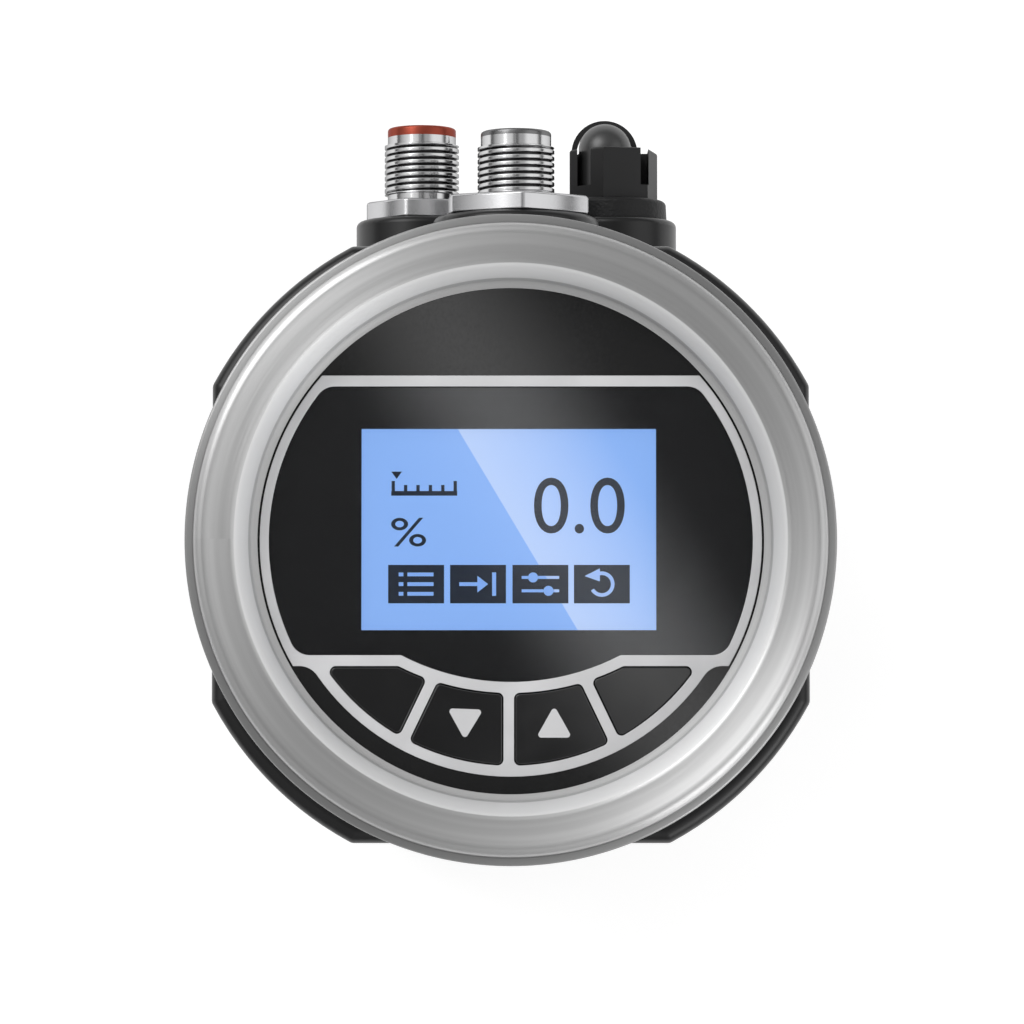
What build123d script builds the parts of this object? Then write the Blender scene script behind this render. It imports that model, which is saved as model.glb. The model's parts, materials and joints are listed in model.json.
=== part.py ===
from build123d import *
import os

# Top mounted smart valve positioner: a black housing with a bayonet bezel ring round a display
# and four keys, two threaded plug connectors and a relief valve on its +Y side, two air ports on
# its -Y side, and a socket below that sits on the actuator and lets the travel spindle through.
# Millimetres, +Z out of the display, origin at the mouth of the actuator socket.

# Heights up the axis
adapter_height = 14.0
base_thickness = 4.0
housing_height = 56.0
bezel_height = 19.5
bezel_gap = 0.5

# Housing
housing_step = 3.4
housing_flat_cut = 6.0
housing_wall = 3.5
housing_top_wall = 3.0
corner_blend = 1.5
front_edge_round = 2.0
neck_wall = 2.7

# Bezel ring
bezel_radius = 48.0
bezel_band = 1.25
bezel_band_drop = 1.6
bezel_edge_round = 1.5
bezel_face_width = 7.2
bezel_face_drop = 0.7
bezel_slope_width = 2.0
bezel_slope_drop = 6.5
bezel_lip_width = 1.15
bezel_lip_drop = 1.0
bezel_wall = 3.4
bezel_bore_clearance = 0.4
bezel_seal_wire = 0.8
bezel_seal_groove = 1.5
bezel_seal_up = 2.4

# Bayonet between the bezel ring and the neck
lug_count = 3
lug_angle = 14.0
lug_height = 2.2
lug_depth = 1.5
lug_play = 0.25
lug_end_play = 1.5
lug_above_bezel_bottom = 5.0
bayonet_twist = 30.0

# Front panel and what is let into it
panel_thickness = 2.5
panel_gap_to_lip = 0.3
panel_fit = 0.3
panel_rim = 3.75
panel_seal_thickness = 0.9
panel_ledge_width = 2.2
panel_ledge_thickness = 1.5
window_thickness = 1.2
trim_thickness = 0.6
trim_proud = 0.2
inlay_fit = 0.05

# Silver trim lines on the panel
trim_border = 0.3
side_line = 1.35
bar_line = 1.63
divider_line = 1.57
top_bar_up = 24.6
lower_bar_down = 18.65
screen_arc_up = 14.4
screen_arc_radius = 35.4
key_arc_inset = 2.6
divider_shift = -0.3
divider_pivot_up = 3.0
divider_tilt = 25.6
window_corner = 3.0
trim_corner = 3.2

# Keys and switches
key_fit = 0.2
key_corner = 0.9
key_proud = 0.25
key_flange = 0.6
key_flange_thickness = 0.8
key_flange_gap = 0.1
key_travel = 0.6
key_stem_radius = 1.2
switch_size = 6.0
switch_height = 1.5
switch_floor = 0.2

# Display
lcd_view_width = 43.9
lcd_view_height = 30.0
lcd_centre_x = -0.3
lcd_centre_y = 1.7
lcd_cell_margin = 1.1
lcd_frame_margin = 2.6
lcd_height = 3.0
lcd_gap = 0.2
board_thickness = 1.6
board_margin = 0.6
board_post_radius = 2.4
board_screw_radius = 1.0
board_screw_head_radius = 1.9
board_screw_head_height = 1.3
board_post_places = [(31.0, 10.0), (31.0, -8.0), (-31.0, 10.0), (-31.0, -8.0)]

# Connector row on the +Y side
middle_port_x = 0.8
left_spacing = 15.15
relief_spacing = 15.6
low_row_up = 20.0
high_row_up = 41.0

# Plug connectors, one record for each
thread_radius = 6.0
relief_radius = 5.5
cavity_radius = 4.45
rear_radius = 7.4
rear_fit = 0.1
rear_reach = 4.0
nut_thickness = 3.0
pin_radius = 0.5
pin_circle = 2.75
pin_below_rim = 2.0
insert_height = 5.0
boss_round = 1.0
left_boss_radius = 10.5
left_boss_stand = 7.6
left_nut_across_flats = 16.0
left_nut_turn = 15.0
left_barrel = 12.1
left_lower_relief = 1.3
left_upper_relief = 1.3
left_ring_height = 1.5
middle_boss_radius = 12.9
middle_boss_stand = 5.8
middle_nut_across_flats = 21.5
middle_nut_turn = 35.0
middle_barrel = 10.5
middle_lower_relief = 0.6
middle_upper_relief = 1.6
middle_ring_height = 0.9

# Relief valve
relief_boss_radius = 10.2
relief_boss_stand = 7.6
relief_flange_radius = 8.7
relief_flange_taper = 3.0
relief_flange_height = 3.3
crown_across_corners = 14.8
crown_shift = 0.15
crown_turn = 16.0
crown_height = 8.2
crown_slot_depth = 6.0
crown_left_slot = 2.1
crown_right_slot = 1.3
crown_slot_span = 9.7
dome_offset = 1.4
dome_radius = 4.2
dome_bore_fit = 0.35
dome_lift = 1.0
hood_inner_radius = 4.5
hood_wall = 0.85
hood_back = 2.7
hood_depth = 1.9
spring_wire = 0.5
spring_radius = 2.2
spring_length = 2.4
relief_bore_radius = 1.5

# Air ports on the -Y side
air_port_spread = 14.0
air_thread_radius = 4.283
air_bush_radius = 7.0
air_flange_radius = 8.6
air_flange_height = 0.4
air_flange_round = 0.25
air_bush_inside = 7.6

# Base, adapter and actuator socket
adapter_radius = 37.0
socket_radius = 28.0
socket_depth = 9.0
adapter_chamfer = 0.8
adapter_hole_radius = 12.0
adapter_screw_circle = 19.5
set_screw_radius = 2.0
set_screw_length = 7.0
seal_wire = 1.3
m4_radius = 2.0
m4_head_radius = 3.5
m4_head_height = 3.0
screw_fit = 0.15
post_radius = 4.6
post_height = 18.0
base_screw_inset = 4.6

# Travel spindle and its sensor
spindle_radius = 4.0
spindle_fit = 0.05
spindle_end_play = 0.5
spindle_seal_wire = 0.95
spindle_low_end = 9.5
stem_bore_radius = 2.5
stem_bore_depth = 8.0
travel = 22.0
tower_wall = 3.0
tower_bore_gap = 1.2
bush_fit = 0.05
bush_length = 12.0
carriage_clearance = 1.0
carriage_wall = 2.8
carriage_height = 6.0
sensor_width = 14.0
sensor_depth = 6.0
sensor_gap = 3.5
finger_width = 2.4
finger_fit = 0.4
finger_reach = 2.2
sensor_low_end = 40.0
sensor_top_gap = 1.0
bracket_thickness = 1.5
bracket_half_width = 8.0
magnet_height = 4.0
magnet_reach = 2.0
base_seal_width = 1.5
base_seal_thickness = 1.0
m3_radius = 1.5
m3_head_radius = 2.75
m3_head_height = 2.0

# Pneumatic block and boards inside
block_half_width = 24.0
block_depth = 19.0
block_height = 30.0
block_port_radius = 3.0
valve_width = 17.0
valve_depth = 13.0
valve_height = 9.0
coil_radius = 5.6
coil_height = 11.0
valve_spread = 9.0
block_screw_spread = 20.7
block_screw_inset = 5.0
main_board_half_width = 25.0
main_board_gap = 2.0
board_slot_play = 0.1
board_holder_width = 6.0
board_holder_height = 7.0
board_holder_place = 20.0
header_half_width = 8.0
header_depth = 2.8
header_overlap = 6.0

# Places worked out from the sizes above
base_bottom = adapter_height
housing_bottom = base_bottom + base_thickness
housing_top = housing_bottom + housing_height
bezel_bottom = housing_top + bezel_gap
bezel_top = bezel_bottom + bezel_height
bezel_bore = bezel_radius - bezel_wall
neck_radius = bezel_bore - bezel_bore_clearance
housing_radius = bezel_radius + housing_step
housing_half_width = housing_radius - housing_flat_cut
edge_radius = bezel_radius - bezel_band
slope_radius = bezel_radius - bezel_face_width
step_radius = slope_radius - bezel_slope_width
lip_radius = step_radius - bezel_lip_width
lip_under = bezel_top - bezel_face_drop - bezel_slope_drop - bezel_lip_drop
panel_top = lip_under - panel_gap_to_lip
panel_bottom = panel_top - panel_thickness
panel_radius = lip_radius + panel_rim
neck_bore = panel_radius + panel_fit
neck_top = lip_under - 2 * panel_fit
ledge_top = panel_bottom - panel_seal_thickness
ledge_radius = neck_bore - panel_ledge_width
board_top = panel_bottom - lcd_height - lcd_gap
board_bottom = board_top - board_thickness
board_radius = ledge_radius - board_margin
low_row = housing_bottom + low_row_up
high_row = housing_bottom + high_row_up
left_x = middle_port_x - left_spacing
middle_x = middle_port_x
relief_x = middle_port_x + relief_spacing
cavity_top = housing_top - housing_top_wall
lug_bottom = bezel_bottom + lug_above_bezel_bottom
post_reach = housing_radius - housing_wall - base_screw_inset + 0.6
bush_radius = spindle_radius + spindle_fit + 2 * spindle_seal_wire + bush_fit
tower_radius = bush_radius + tower_wall
tower_bore_radius = spindle_radius + tower_bore_gap
carriage_radius = spindle_radius + carriage_wall
bush_top = spindle_low_end + travel + 2 * spindle_seal_wire + spindle_end_play + bush_length
carriage_bottom = bush_top + carriage_clearance
spindle_length = carriage_bottom + carriage_height - spindle_low_end

block_face = housing_half_width - air_bush_inside

pieces = {}


def body_outline(radius, half_width):
    """A circle with four flats, which is the housing's outline."""
    Circle(radius)
    Rectangle(2 * half_width, 2 * half_width, mode=Mode.INTERSECT)


def ring_sector(inner, outer, start, span):
    """A piece of a flat ring, from the start angle over the span."""
    with BuildSketch() as sector:
        with BuildLine():
            outer_arc = CenterArc((0, 0), outer, start, span)
            inner_arc = CenterArc((0, 0), inner, start, span)
            Line(outer_arc @ 0, inner_arc @ 0)
            Line(outer_arc @ 1, inner_arc @ 1)
        make_face()
    return sector.sketch


def facing_y(x, y, z):
    """A plane square to +Y, for what stands on the connector side."""
    return Plane(origin=(x, y, z), x_dir=(1, 0, 0), z_dir=(0, 1, 0))


def seal_ring(radius, wire, plane):
    """A round rubber ring of the given middle radius lying in a plane."""
    with BuildPart(plane) as seal:
        Torus(radius, wire)
    return seal


# Outlines on the front panel, drawn once and used by the panel, trim, window and keys

trim_outer = lip_radius - trim_border
window_arc = trim_outer - side_line
key_arc_outer = lip_radius - key_arc_inset
key_arc_inner = key_arc_outer - bar_line
big = 2 * panel_radius

with BuildSketch() as window_shape:
    Circle(window_arc)
    with Locations((0, top_bar_up - bar_line - big / 2)):
        Rectangle(big, big, mode=Mode.INTERSECT)
    with BuildSketch(mode=Mode.INTERSECT):
        with Locations((0, big / 2 - lower_bar_down + bar_line)):
            Rectangle(big, big)
        with Locations((0, screen_arc_up)):
            Circle(screen_arc_radius)
    fillet(window_shape.vertices().filter_by(lambda v: abs(v.X) > window_arc / 2), window_corner)

with BuildSketch() as key_shapes:
    Circle(key_arc_inner)
    with Locations((0, -lower_bar_down - big / 2)):
        Rectangle(big, big, mode=Mode.INTERSECT)
    with Locations((0, screen_arc_up)):
        Circle(screen_arc_radius + bar_line, mode=Mode.SUBTRACT)
    for tilt in (-divider_tilt, 0, divider_tilt):
        with Locations(Location((divider_shift, divider_pivot_up), tilt)):
            Rectangle(divider_line, 2 * big, mode=Mode.SUBTRACT)
    fillet(key_shapes.vertices(), key_corner)

with BuildSketch() as trim_shape:
    Circle(trim_outer)
    with Locations((0, big / 2 - lower_bar_down)):
        Rectangle(big, big, mode=Mode.INTERSECT)
    Circle(key_arc_outer)
    joins = trim_shape.vertices().filter_by(lambda v: abs(v.Y + lower_bar_down) < 0.01)
    fillet(joins.sort_by(lambda v: abs(v.X))[:2], trim_corner)
    with Locations((0, top_bar_up - big / 2)):
        Rectangle(big, big, mode=Mode.INTERSECT)
    add(window_shape.sketch, mode=Mode.SUBTRACT)
    add(key_shapes.sketch, mode=Mode.SUBTRACT)

key_faces = key_shapes.sketch.faces().sort_by(Axis.X)
key_names = ["key_left", "key_down", "key_up", "key_right"]

# Bezel ring, turned, with three bayonet lugs inside

with BuildPart() as bezel_ring:
    with BuildSketch(Plane.XZ):
        with BuildLine():
            band_height = bezel_top - bezel_band_drop
            face_end = (slope_radius, bezel_top - bezel_face_drop)
            step_z = bezel_top - bezel_face_drop - bezel_slope_drop
            Polyline(
                (lip_radius, lip_under),
                (bezel_bore, lip_under),
                (bezel_bore, bezel_bottom),
                (bezel_radius, bezel_bottom),
                (bezel_radius, band_height),
                (edge_radius, band_height),
            )
            edge = RadiusArc(
                (edge_radius, bezel_top - bezel_edge_round),
                (edge_radius - bezel_edge_round, bezel_top),
                -bezel_edge_round,
            )
            Line((edge_radius, band_height), edge @ 0)
            SagittaArc(edge @ 1, face_end, bezel_face_drop / 5)
            SagittaArc(face_end, (step_radius, step_z), -bezel_slope_drop / 6)
            SagittaArc((step_radius, step_z), (lip_radius, lip_under), bezel_lip_width / 5)
        make_face()
    revolve(axis=Axis.Z)
    chamfer(bezel_ring.edges().filter_by(GeomType.CIRCLE).group_by(Axis.Z)[0], 0.4)
    with BuildSketch(Plane.XY.offset(lug_bottom)):
        for number in range(lug_count):
            middle = 360 / lug_count * number
            add(ring_sector(bezel_bore - lug_depth, bezel_bore + 0.5, middle - lug_angle / 2, lug_angle))
    extrude(amount=lug_height)
pieces["bezel_ring"] = bezel_ring

# Housing shell with its neck, bosses and bayonet grooves

boss_places = [
    (left_x, low_row, left_boss_radius, left_boss_stand),
    (middle_x, high_row, middle_boss_radius, middle_boss_stand),
    (relief_x, low_row, relief_boss_radius, relief_boss_stand),
]
groove_depth = lug_depth - bezel_bore_clearance + lug_play

with BuildPart() as housing:
    with BuildSketch(Plane.XY.offset(housing_bottom)):
        body_outline(housing_radius, housing_half_width)
    extrude(amount=housing_height)
    fillet(housing.edges().filter_by(Axis.Z), corner_blend)
    fillet(housing.faces().sort_by(Axis.Z)[-1].edges(), front_edge_round)
    inside = housing_half_width - housing_wall
    for x, z, radius, stand in boss_places:
        with BuildSketch(facing_y(x, inside, z)):
            Circle(radius)
        extrude(amount=housing_wall + stand)
    boss_rims = [
        edge
        for edge in housing.edges().filter_by(GeomType.CIRCLE)
        for x, z, radius, stand in boss_places
        if abs(edge.center().Y - housing_half_width - stand) < 0.01 and abs(edge.arc_center.X - x) < 1
    ]
    fillet(boss_rims, boss_round)
    with BuildSketch(Plane.XY.offset(housing_bottom)):
        body_outline(housing_radius - housing_wall, housing_half_width - housing_wall)
    extrude(amount=housing_height - housing_top_wall, mode=Mode.SUBTRACT)
    with BuildSketch(Plane.XY.offset(housing_top)):
        Circle(neck_radius)
    extrude(amount=neck_top - housing_top)
    with BuildSketch(Plane.XY.offset(cavity_top)):
        Circle(neck_bore)
    extrude(amount=neck_top - cavity_top, mode=Mode.SUBTRACT)
    with BuildSketch(Plane.XY.offset(ledge_top)):
        Circle(neck_bore + neck_wall / 2)
        Circle(ledge_radius, mode=Mode.SUBTRACT)
    extrude(amount=-panel_ledge_thickness)
    with BuildSketch(Plane.XY.offset(bezel_bottom + bezel_seal_up - bezel_seal_wire - inlay_fit)):
        Circle(neck_radius + 1)
        Circle(neck_radius - bezel_seal_groove - inlay_fit, mode=Mode.SUBTRACT)
    extrude(amount=2 * (bezel_seal_wire + inlay_fit), mode=Mode.SUBTRACT)
    for x, z, radius, stand in boss_places:
        with BuildSketch(facing_y(x, inside - rear_reach, z)):
            Circle(rear_radius + rear_fit)
        extrude(amount=rear_reach + housing_wall + stand, mode=Mode.SUBTRACT)
    with BuildSketch(Plane.XZ.offset(inside)):
        with Locations((-air_port_spread, low_row), (air_port_spread, low_row)):
            Circle(air_bush_radius + rear_fit)
    extrude(amount=housing_wall, mode=Mode.SUBTRACT)
    with BuildSketch(Plane.XY.offset(housing_bottom)):
        with PolarLocations(post_reach, 4, start_angle=45):
            Circle(post_radius)
    extrude(amount=post_height)
    with BuildSketch(Plane.XY.offset(housing_bottom)):
        with PolarLocations(post_reach, 4, start_angle=45):
            Circle(m4_radius)
    extrude(amount=post_height - base_thickness, mode=Mode.SUBTRACT)
    for number in range(lug_count):
        middle = 360 / lug_count * number
        half = lug_angle / 2 + lug_end_play
        with BuildSketch(Plane.XY.offset(lug_bottom - lug_play)):
            add(ring_sector(neck_radius - groove_depth, neck_radius + 1, middle - half, bayonet_twist + 2 * half))
        extrude(amount=lug_height + 2 * lug_play, mode=Mode.SUBTRACT)
        with BuildSketch(Plane.XY.offset(lug_bottom - lug_play)):
            add(ring_sector(neck_radius - groove_depth, neck_radius + 1, middle + bayonet_twist - half, 2 * half))
        extrude(amount=neck_top - lug_bottom + 2 * lug_play, mode=Mode.SUBTRACT)
pieces["housing"] = housing

# Front panel, its seal, the trim and the window

with BuildPart() as front_panel:
    with BuildSketch(Plane.XY.offset(panel_bottom)):
        Circle(panel_radius)
    extrude(amount=panel_thickness)
    with BuildSketch(Plane.XY.offset(panel_top - window_thickness)):
        add(window_shape.sketch)
    extrude(amount=window_thickness, mode=Mode.SUBTRACT)
    with BuildSketch(Plane.XY.offset(panel_top - trim_thickness + trim_proud)):
        add(trim_shape.sketch)
    extrude(amount=trim_thickness, mode=Mode.SUBTRACT)
    with BuildSketch(Plane.XY.offset(panel_bottom)):
        add(key_shapes.sketch)
        with Locations((lcd_centre_x, lcd_centre_y)):
            Rectangle(lcd_view_width, lcd_view_height)
    extrude(amount=panel_thickness, mode=Mode.SUBTRACT)
    with BuildSketch(Plane.XY.offset(panel_bottom)):
        with Locations(*board_post_places):
            Circle(board_post_radius)
    extrude(amount=-(panel_bottom - board_top))
    with BuildSketch(Plane.XY.offset(board_top)):
        with Locations(*board_post_places):
            Circle(board_screw_radius + inlay_fit)
    extrude(amount=panel_bottom - board_top + 1, mode=Mode.SUBTRACT)
pieces["front_panel"] = front_panel

with BuildPart() as panel_seal:
    with BuildSketch(Plane.XY.offset(ledge_top)):
        Circle(panel_radius)
        Circle(ledge_radius + 0.3, mode=Mode.SUBTRACT)
    extrude(amount=panel_seal_thickness)
pieces["panel_seal"] = panel_seal

with BuildPart() as display_window:
    with BuildSketch(Plane.XY.offset(panel_top - window_thickness)):
        offset(window_shape.sketch, amount=-inlay_fit)
    extrude(amount=window_thickness)
pieces["display_window"] = display_window

with BuildPart() as trim_frame:
    with BuildSketch(Plane.XY.offset(panel_top - trim_thickness + trim_proud)):
        add(trim_shape.sketch)
    extrude(amount=trim_thickness)
pieces["trim_frame"] = trim_frame

# Keys, each a cap with a retaining flange and a stem into its switch

for name, outline in zip(key_names, key_faces):
    centre = outline.center()
    with BuildPart() as key:
        with BuildSketch(Plane.XY.offset(panel_bottom - key_flange_gap)):
            offset(outline, amount=-key_fit)
        extrude(amount=panel_thickness + key_flange_gap + key_proud)
        with BuildSketch(Plane.XY.offset(panel_bottom - key_flange_gap)):
            offset(outline, amount=key_flange)
        extrude(amount=-key_flange_thickness)
        flange_bottom = panel_bottom - key_flange_gap - key_flange_thickness
        with BuildSketch(Plane.XY.offset(flange_bottom)):
            with Locations((centre.X, centre.Y)):
                Circle(key_stem_radius)
        extrude(amount=-(flange_bottom - board_top - switch_floor - key_travel - 0.1))
    pieces[name] = key

with BuildPart() as key_switches:
    with BuildSketch(Plane.XY.offset(board_top)):
        for outline in key_faces:
            with Locations((outline.center().X, outline.center().Y)):
                Rectangle(switch_size, switch_size)
    extrude(amount=switch_height)
    with BuildSketch(Plane.XY.offset(board_top + switch_floor)):
        for outline in key_faces:
            with Locations((outline.center().X, outline.center().Y)):
                Circle(key_stem_radius + key_fit)
    extrude(amount=switch_height, mode=Mode.SUBTRACT)
pieces["key_switches"] = key_switches

# Display cell in its frame, the board under it and the screws that hold the board

with BuildPart() as lcd_cell:
    with BuildSketch(Plane.XY.offset(board_top)):
        with Locations((lcd_centre_x, lcd_centre_y)):
            Rectangle(lcd_view_width + 2 * lcd_cell_margin, lcd_view_height + 2 * lcd_cell_margin)
    extrude(amount=lcd_height)
pieces["lcd_cell"] = lcd_cell

with BuildPart() as lcd_frame:
    with BuildSketch(Plane.XY.offset(board_top)):
        with Locations((lcd_centre_x, lcd_centre_y)):
            RectangleRounded(lcd_view_width + 2 * lcd_frame_margin, lcd_view_height + 2 * lcd_frame_margin, 1)
            inner = 2 * (lcd_cell_margin + inlay_fit)
            Rectangle(lcd_view_width + inner, lcd_view_height + inner, mode=Mode.SUBTRACT)
    extrude(amount=lcd_height)
pieces["lcd_frame"] = lcd_frame

with BuildPart() as display_board:
    with BuildSketch(Plane.XY.offset(board_bottom)):
        Circle(board_radius)
        with Locations(*board_post_places):
            Circle(board_screw_radius + screw_fit, mode=Mode.SUBTRACT)
    extrude(amount=board_thickness)
pieces["display_board"] = display_board

with BuildPart() as board_screws:
    with BuildSketch(Plane.XY.offset(board_bottom)):
        with Locations(*board_post_places):
            Circle(board_screw_head_radius)
    extrude(amount=-board_screw_head_height)
    with BuildSketch(Plane.XY.offset(board_bottom)):
        with Locations(*board_post_places):
            Circle(board_screw_radius)
    extrude(amount=panel_bottom - board_bottom)
pieces["board_screws"] = board_screws

pieces["bezel_seal"] = seal_ring(
    neck_radius + bezel_seal_wire - bezel_seal_groove, bezel_seal_wire, Plane.XY.offset(bezel_bottom + bezel_seal_up)
)

# Plug connectors: shell, nut, insert, pins and colour ring


def plug_connector(name, x, z, boss_top, across_flats, turn, barrel, lower_relief, upper_relief, ring, pin_count):
    """One threaded plug connector standing out along +Y from its boss."""
    nut_top = boss_top + nut_thickness
    rim = nut_top + barrel
    floor = nut_top + 1.0
    inside = housing_half_width - housing_wall - rear_reach
    with BuildPart() as nut:
        with BuildSketch(facing_y(x, boss_top, z)):
            RegularPolygon(across_flats / 2, 6, major_radius=False, rotation=turn)
            Circle(relief_radius + rear_fit, mode=Mode.SUBTRACT)
        extrude(amount=nut_thickness)
        chamfer(nut.edges().filter_by(Axis.Y), 0.5)
    with BuildPart() as shell:
        with BuildSketch(facing_y(x, inside, z)):
            Circle(rear_radius)
        extrude(amount=boss_top - inside)
        with BuildSketch(facing_y(x, boss_top, z)):
            Circle(relief_radius)
        extrude(amount=rim - ring - boss_top)
        with BuildSketch(facing_y(x, nut_top + lower_relief, z)):
            Circle(thread_radius)
        extrude(amount=barrel - lower_relief - upper_relief - ring)
        with BuildSketch(facing_y(x, floor, z)):
            Circle(cavity_radius)
        extrude(amount=barrel, mode=Mode.SUBTRACT)
        with BuildSketch(facing_y(x, inside, z)):
            Circle(cavity_radius - 1)
        extrude(amount=floor - inside, mode=Mode.SUBTRACT)
    with BuildPart() as colour_ring:
        with BuildSketch(facing_y(x, rim - ring, z)):
            Circle(relief_radius)
            Circle(cavity_radius, mode=Mode.SUBTRACT)
        extrude(amount=ring)
        fillet(colour_ring.edges().group_by(Axis.Y)[-1].sort_by(SortBy.RADIUS)[-1], 0.4)
    with BuildPart() as insert:
        with BuildSketch(facing_y(x, floor, z)):
            Circle(cavity_radius - rear_fit)
        extrude(amount=1.2)
        with BuildSketch(facing_y(x, inside, z)):
            Circle(cavity_radius - 1 - rear_fit)
        extrude(amount=floor - inside)
        with BuildSketch(facing_y(x, inside, z)):
            with PolarLocations(pin_circle, pin_count):
                Circle(pin_radius)
        extrude(amount=floor - inside + 1.2, mode=Mode.SUBTRACT)
    with BuildPart() as pins:
        with BuildSketch(facing_y(x, inside - 2, z)):
            with PolarLocations(pin_circle, pin_count):
                Circle(pin_radius)
        extrude(amount=rim - pin_below_rim - inside + 2)
        fillet(pins.edges().group_by(Axis.Y)[-1], pin_radius * 0.6)
    pieces[name + "_connector_nut"] = nut
    pieces[name + "_connector_shell"] = shell
    pieces[name + "_connector_ring"] = colour_ring
    pieces[name + "_connector_insert"] = insert
    pieces[name + "_connector_pins"] = pins


plug_connector(
    "left",
    left_x,
    low_row,
    housing_half_width + left_boss_stand,
    left_nut_across_flats,
    left_nut_turn,
    left_barrel,
    left_lower_relief,
    left_upper_relief,
    left_ring_height,
    4,
)
plug_connector(
    "middle",
    middle_x,
    high_row,
    housing_half_width + middle_boss_stand,
    middle_nut_across_flats,
    middle_nut_turn,
    middle_barrel,
    middle_lower_relief,
    middle_upper_relief,
    middle_ring_height,
    5,
)

# Relief valve: flange with its threaded root, slotted crown with a hood, domed poppet and spring

relief_top = housing_half_width + relief_boss_stand
crown_bottom = relief_top + relief_flange_height
crown_top = crown_bottom + crown_height
crown_x = relief_x + crown_shift
dome_x = crown_x - dome_offset

with BuildPart() as relief_flange:
    with BuildSketch(facing_y(relief_x, relief_top, low_row)):
        Circle(relief_flange_radius)
    extrude(amount=relief_flange_height, taper=relief_flange_taper)
    fillet(relief_flange.edges().group_by(Axis.Y)[-1], 0.8)
    with BuildSketch(facing_y(relief_x, relief_top, low_row)):
        Circle(rear_radius)
    extrude(amount=-(relief_boss_stand + housing_wall + 1))
    with BuildSketch(facing_y(dome_x, relief_top + relief_flange_height, low_row)):
        Circle(relief_bore_radius)
    extrude(amount=-(relief_boss_stand + housing_wall + relief_flange_height + 1), mode=Mode.SUBTRACT)
pieces["relief_flange"] = relief_flange

with BuildPart() as relief_crown:
    with BuildSketch(facing_y(crown_x, crown_bottom, low_row)):
        RegularPolygon(crown_across_corners / 2, 6, rotation=crown_turn)
    extrude(amount=crown_height)
    fillet(relief_crown.edges().group_by(Axis.Y)[-1], 0.5)
    for place, width in ((-0.5, crown_left_slot), (0.5, crown_right_slot)):
        with BuildSketch(Plane.XY.offset(low_row - hood_back)):
            with Locations((crown_x + place * crown_slot_span, crown_top - crown_slot_depth / 2)):
                Rectangle(width, crown_slot_depth)
        extrude(amount=crown_across_corners, mode=Mode.SUBTRACT)
    hood_outer = hood_inner_radius + hood_wall
    with BuildSketch(Plane.XY.offset(low_row - hood_back)):
        with Locations((dome_x, crown_top)):
            Circle(hood_outer)
        with Locations((dome_x, crown_top - hood_outer / 2)):
            Rectangle(2 * hood_outer, hood_outer, mode=Mode.SUBTRACT)
        with Locations((dome_x, crown_top - crown_slot_depth / 4)):
            Rectangle(2 * hood_outer, crown_slot_depth / 2)
        with Locations((dome_x, crown_top)):
            Circle(hood_inner_radius, mode=Mode.SUBTRACT)
        with Locations((dome_x, crown_top - crown_slot_depth / 2)):
            Rectangle(2 * hood_inner_radius, crown_slot_depth, mode=Mode.SUBTRACT)
    extrude(amount=-hood_depth)
    with BuildSketch(facing_y(dome_x, crown_bottom, low_row)):
        Circle(dome_radius + dome_bore_fit)
    extrude(amount=crown_height, mode=Mode.SUBTRACT)
pieces["relief_crown"] = relief_crown

with BuildPart() as relief_poppet:
    with BuildSketch(Plane.XY.offset(low_row)):
        with BuildLine():
            skirt = crown_bottom + 1.5
            Polyline(
                (dome_x, skirt + 1.5),
                (dome_x + dome_radius - 0.9, skirt + 1.5),
                (dome_x + dome_radius - 0.9, skirt),
                (dome_x + dome_radius, skirt),
                (dome_x + dome_radius, crown_top + 0.2),
            )
            RadiusArc((dome_x + dome_radius, crown_top + 0.2), (dome_x, crown_top + 0.2 + dome_radius), -dome_radius)
            Line((dome_x, crown_top + 0.2 + dome_radius), (dome_x, skirt + 1.5))
        make_face()
    revolve(axis=Axis((dome_x, 0, low_row), (0, 1, 0)))
pieces["relief_poppet"] = relief_poppet

with BuildPart() as relief_spring:
    with BuildLine() as coil:
        Helix(
            pitch=spring_length / 2.5,
            height=spring_length,
            radius=spring_radius,
            center=(dome_x, crown_bottom + spring_wire / 2 + inlay_fit, low_row),
            direction=(0, 1, 0),
        )
    with BuildSketch(Plane(origin=coil.line @ 0, z_dir=coil.line % 0)):
        Circle(spring_wire / 2)
    sweep()
pieces["relief_spring"] = relief_spring

# Air ports

def air_port(x):
    """A threaded bush let into the -Y wall."""
    wall = housing_half_width
    with BuildPart() as bush:
        with BuildSketch(Plane.XZ.offset(wall)):
            with Locations((x, low_row)):
                Circle(air_flange_radius)
        extrude(amount=air_flange_height)
        fillet(bush.edges().group_by(Axis.Y)[0], air_flange_round)
        with BuildSketch(Plane.XZ.offset(wall)):
            with Locations((x, low_row)):
                Circle(air_bush_radius)
        extrude(amount=-air_bush_inside)
        with BuildSketch(Plane.XZ.offset(wall + air_flange_height)):
            with Locations((x, low_row)):
                Circle(air_thread_radius)
        extrude(amount=-(air_flange_height + air_bush_inside), mode=Mode.SUBTRACT)
    return bush


pieces["supply_port"] = air_port(-air_port_spread)
pieces["exhaust_port"] = air_port(air_port_spread)

for number, x in enumerate((-air_port_spread, air_port_spread)):
    name = ["supply_port_seal", "exhaust_port_seal"][number]
    pieces[name] = seal_ring(
        air_bush_radius - seal_wire, seal_wire, facing_y(x, -block_face + seal_wire, low_row)
    )

# Base plate with the guide tower, its seal and screws

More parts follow.
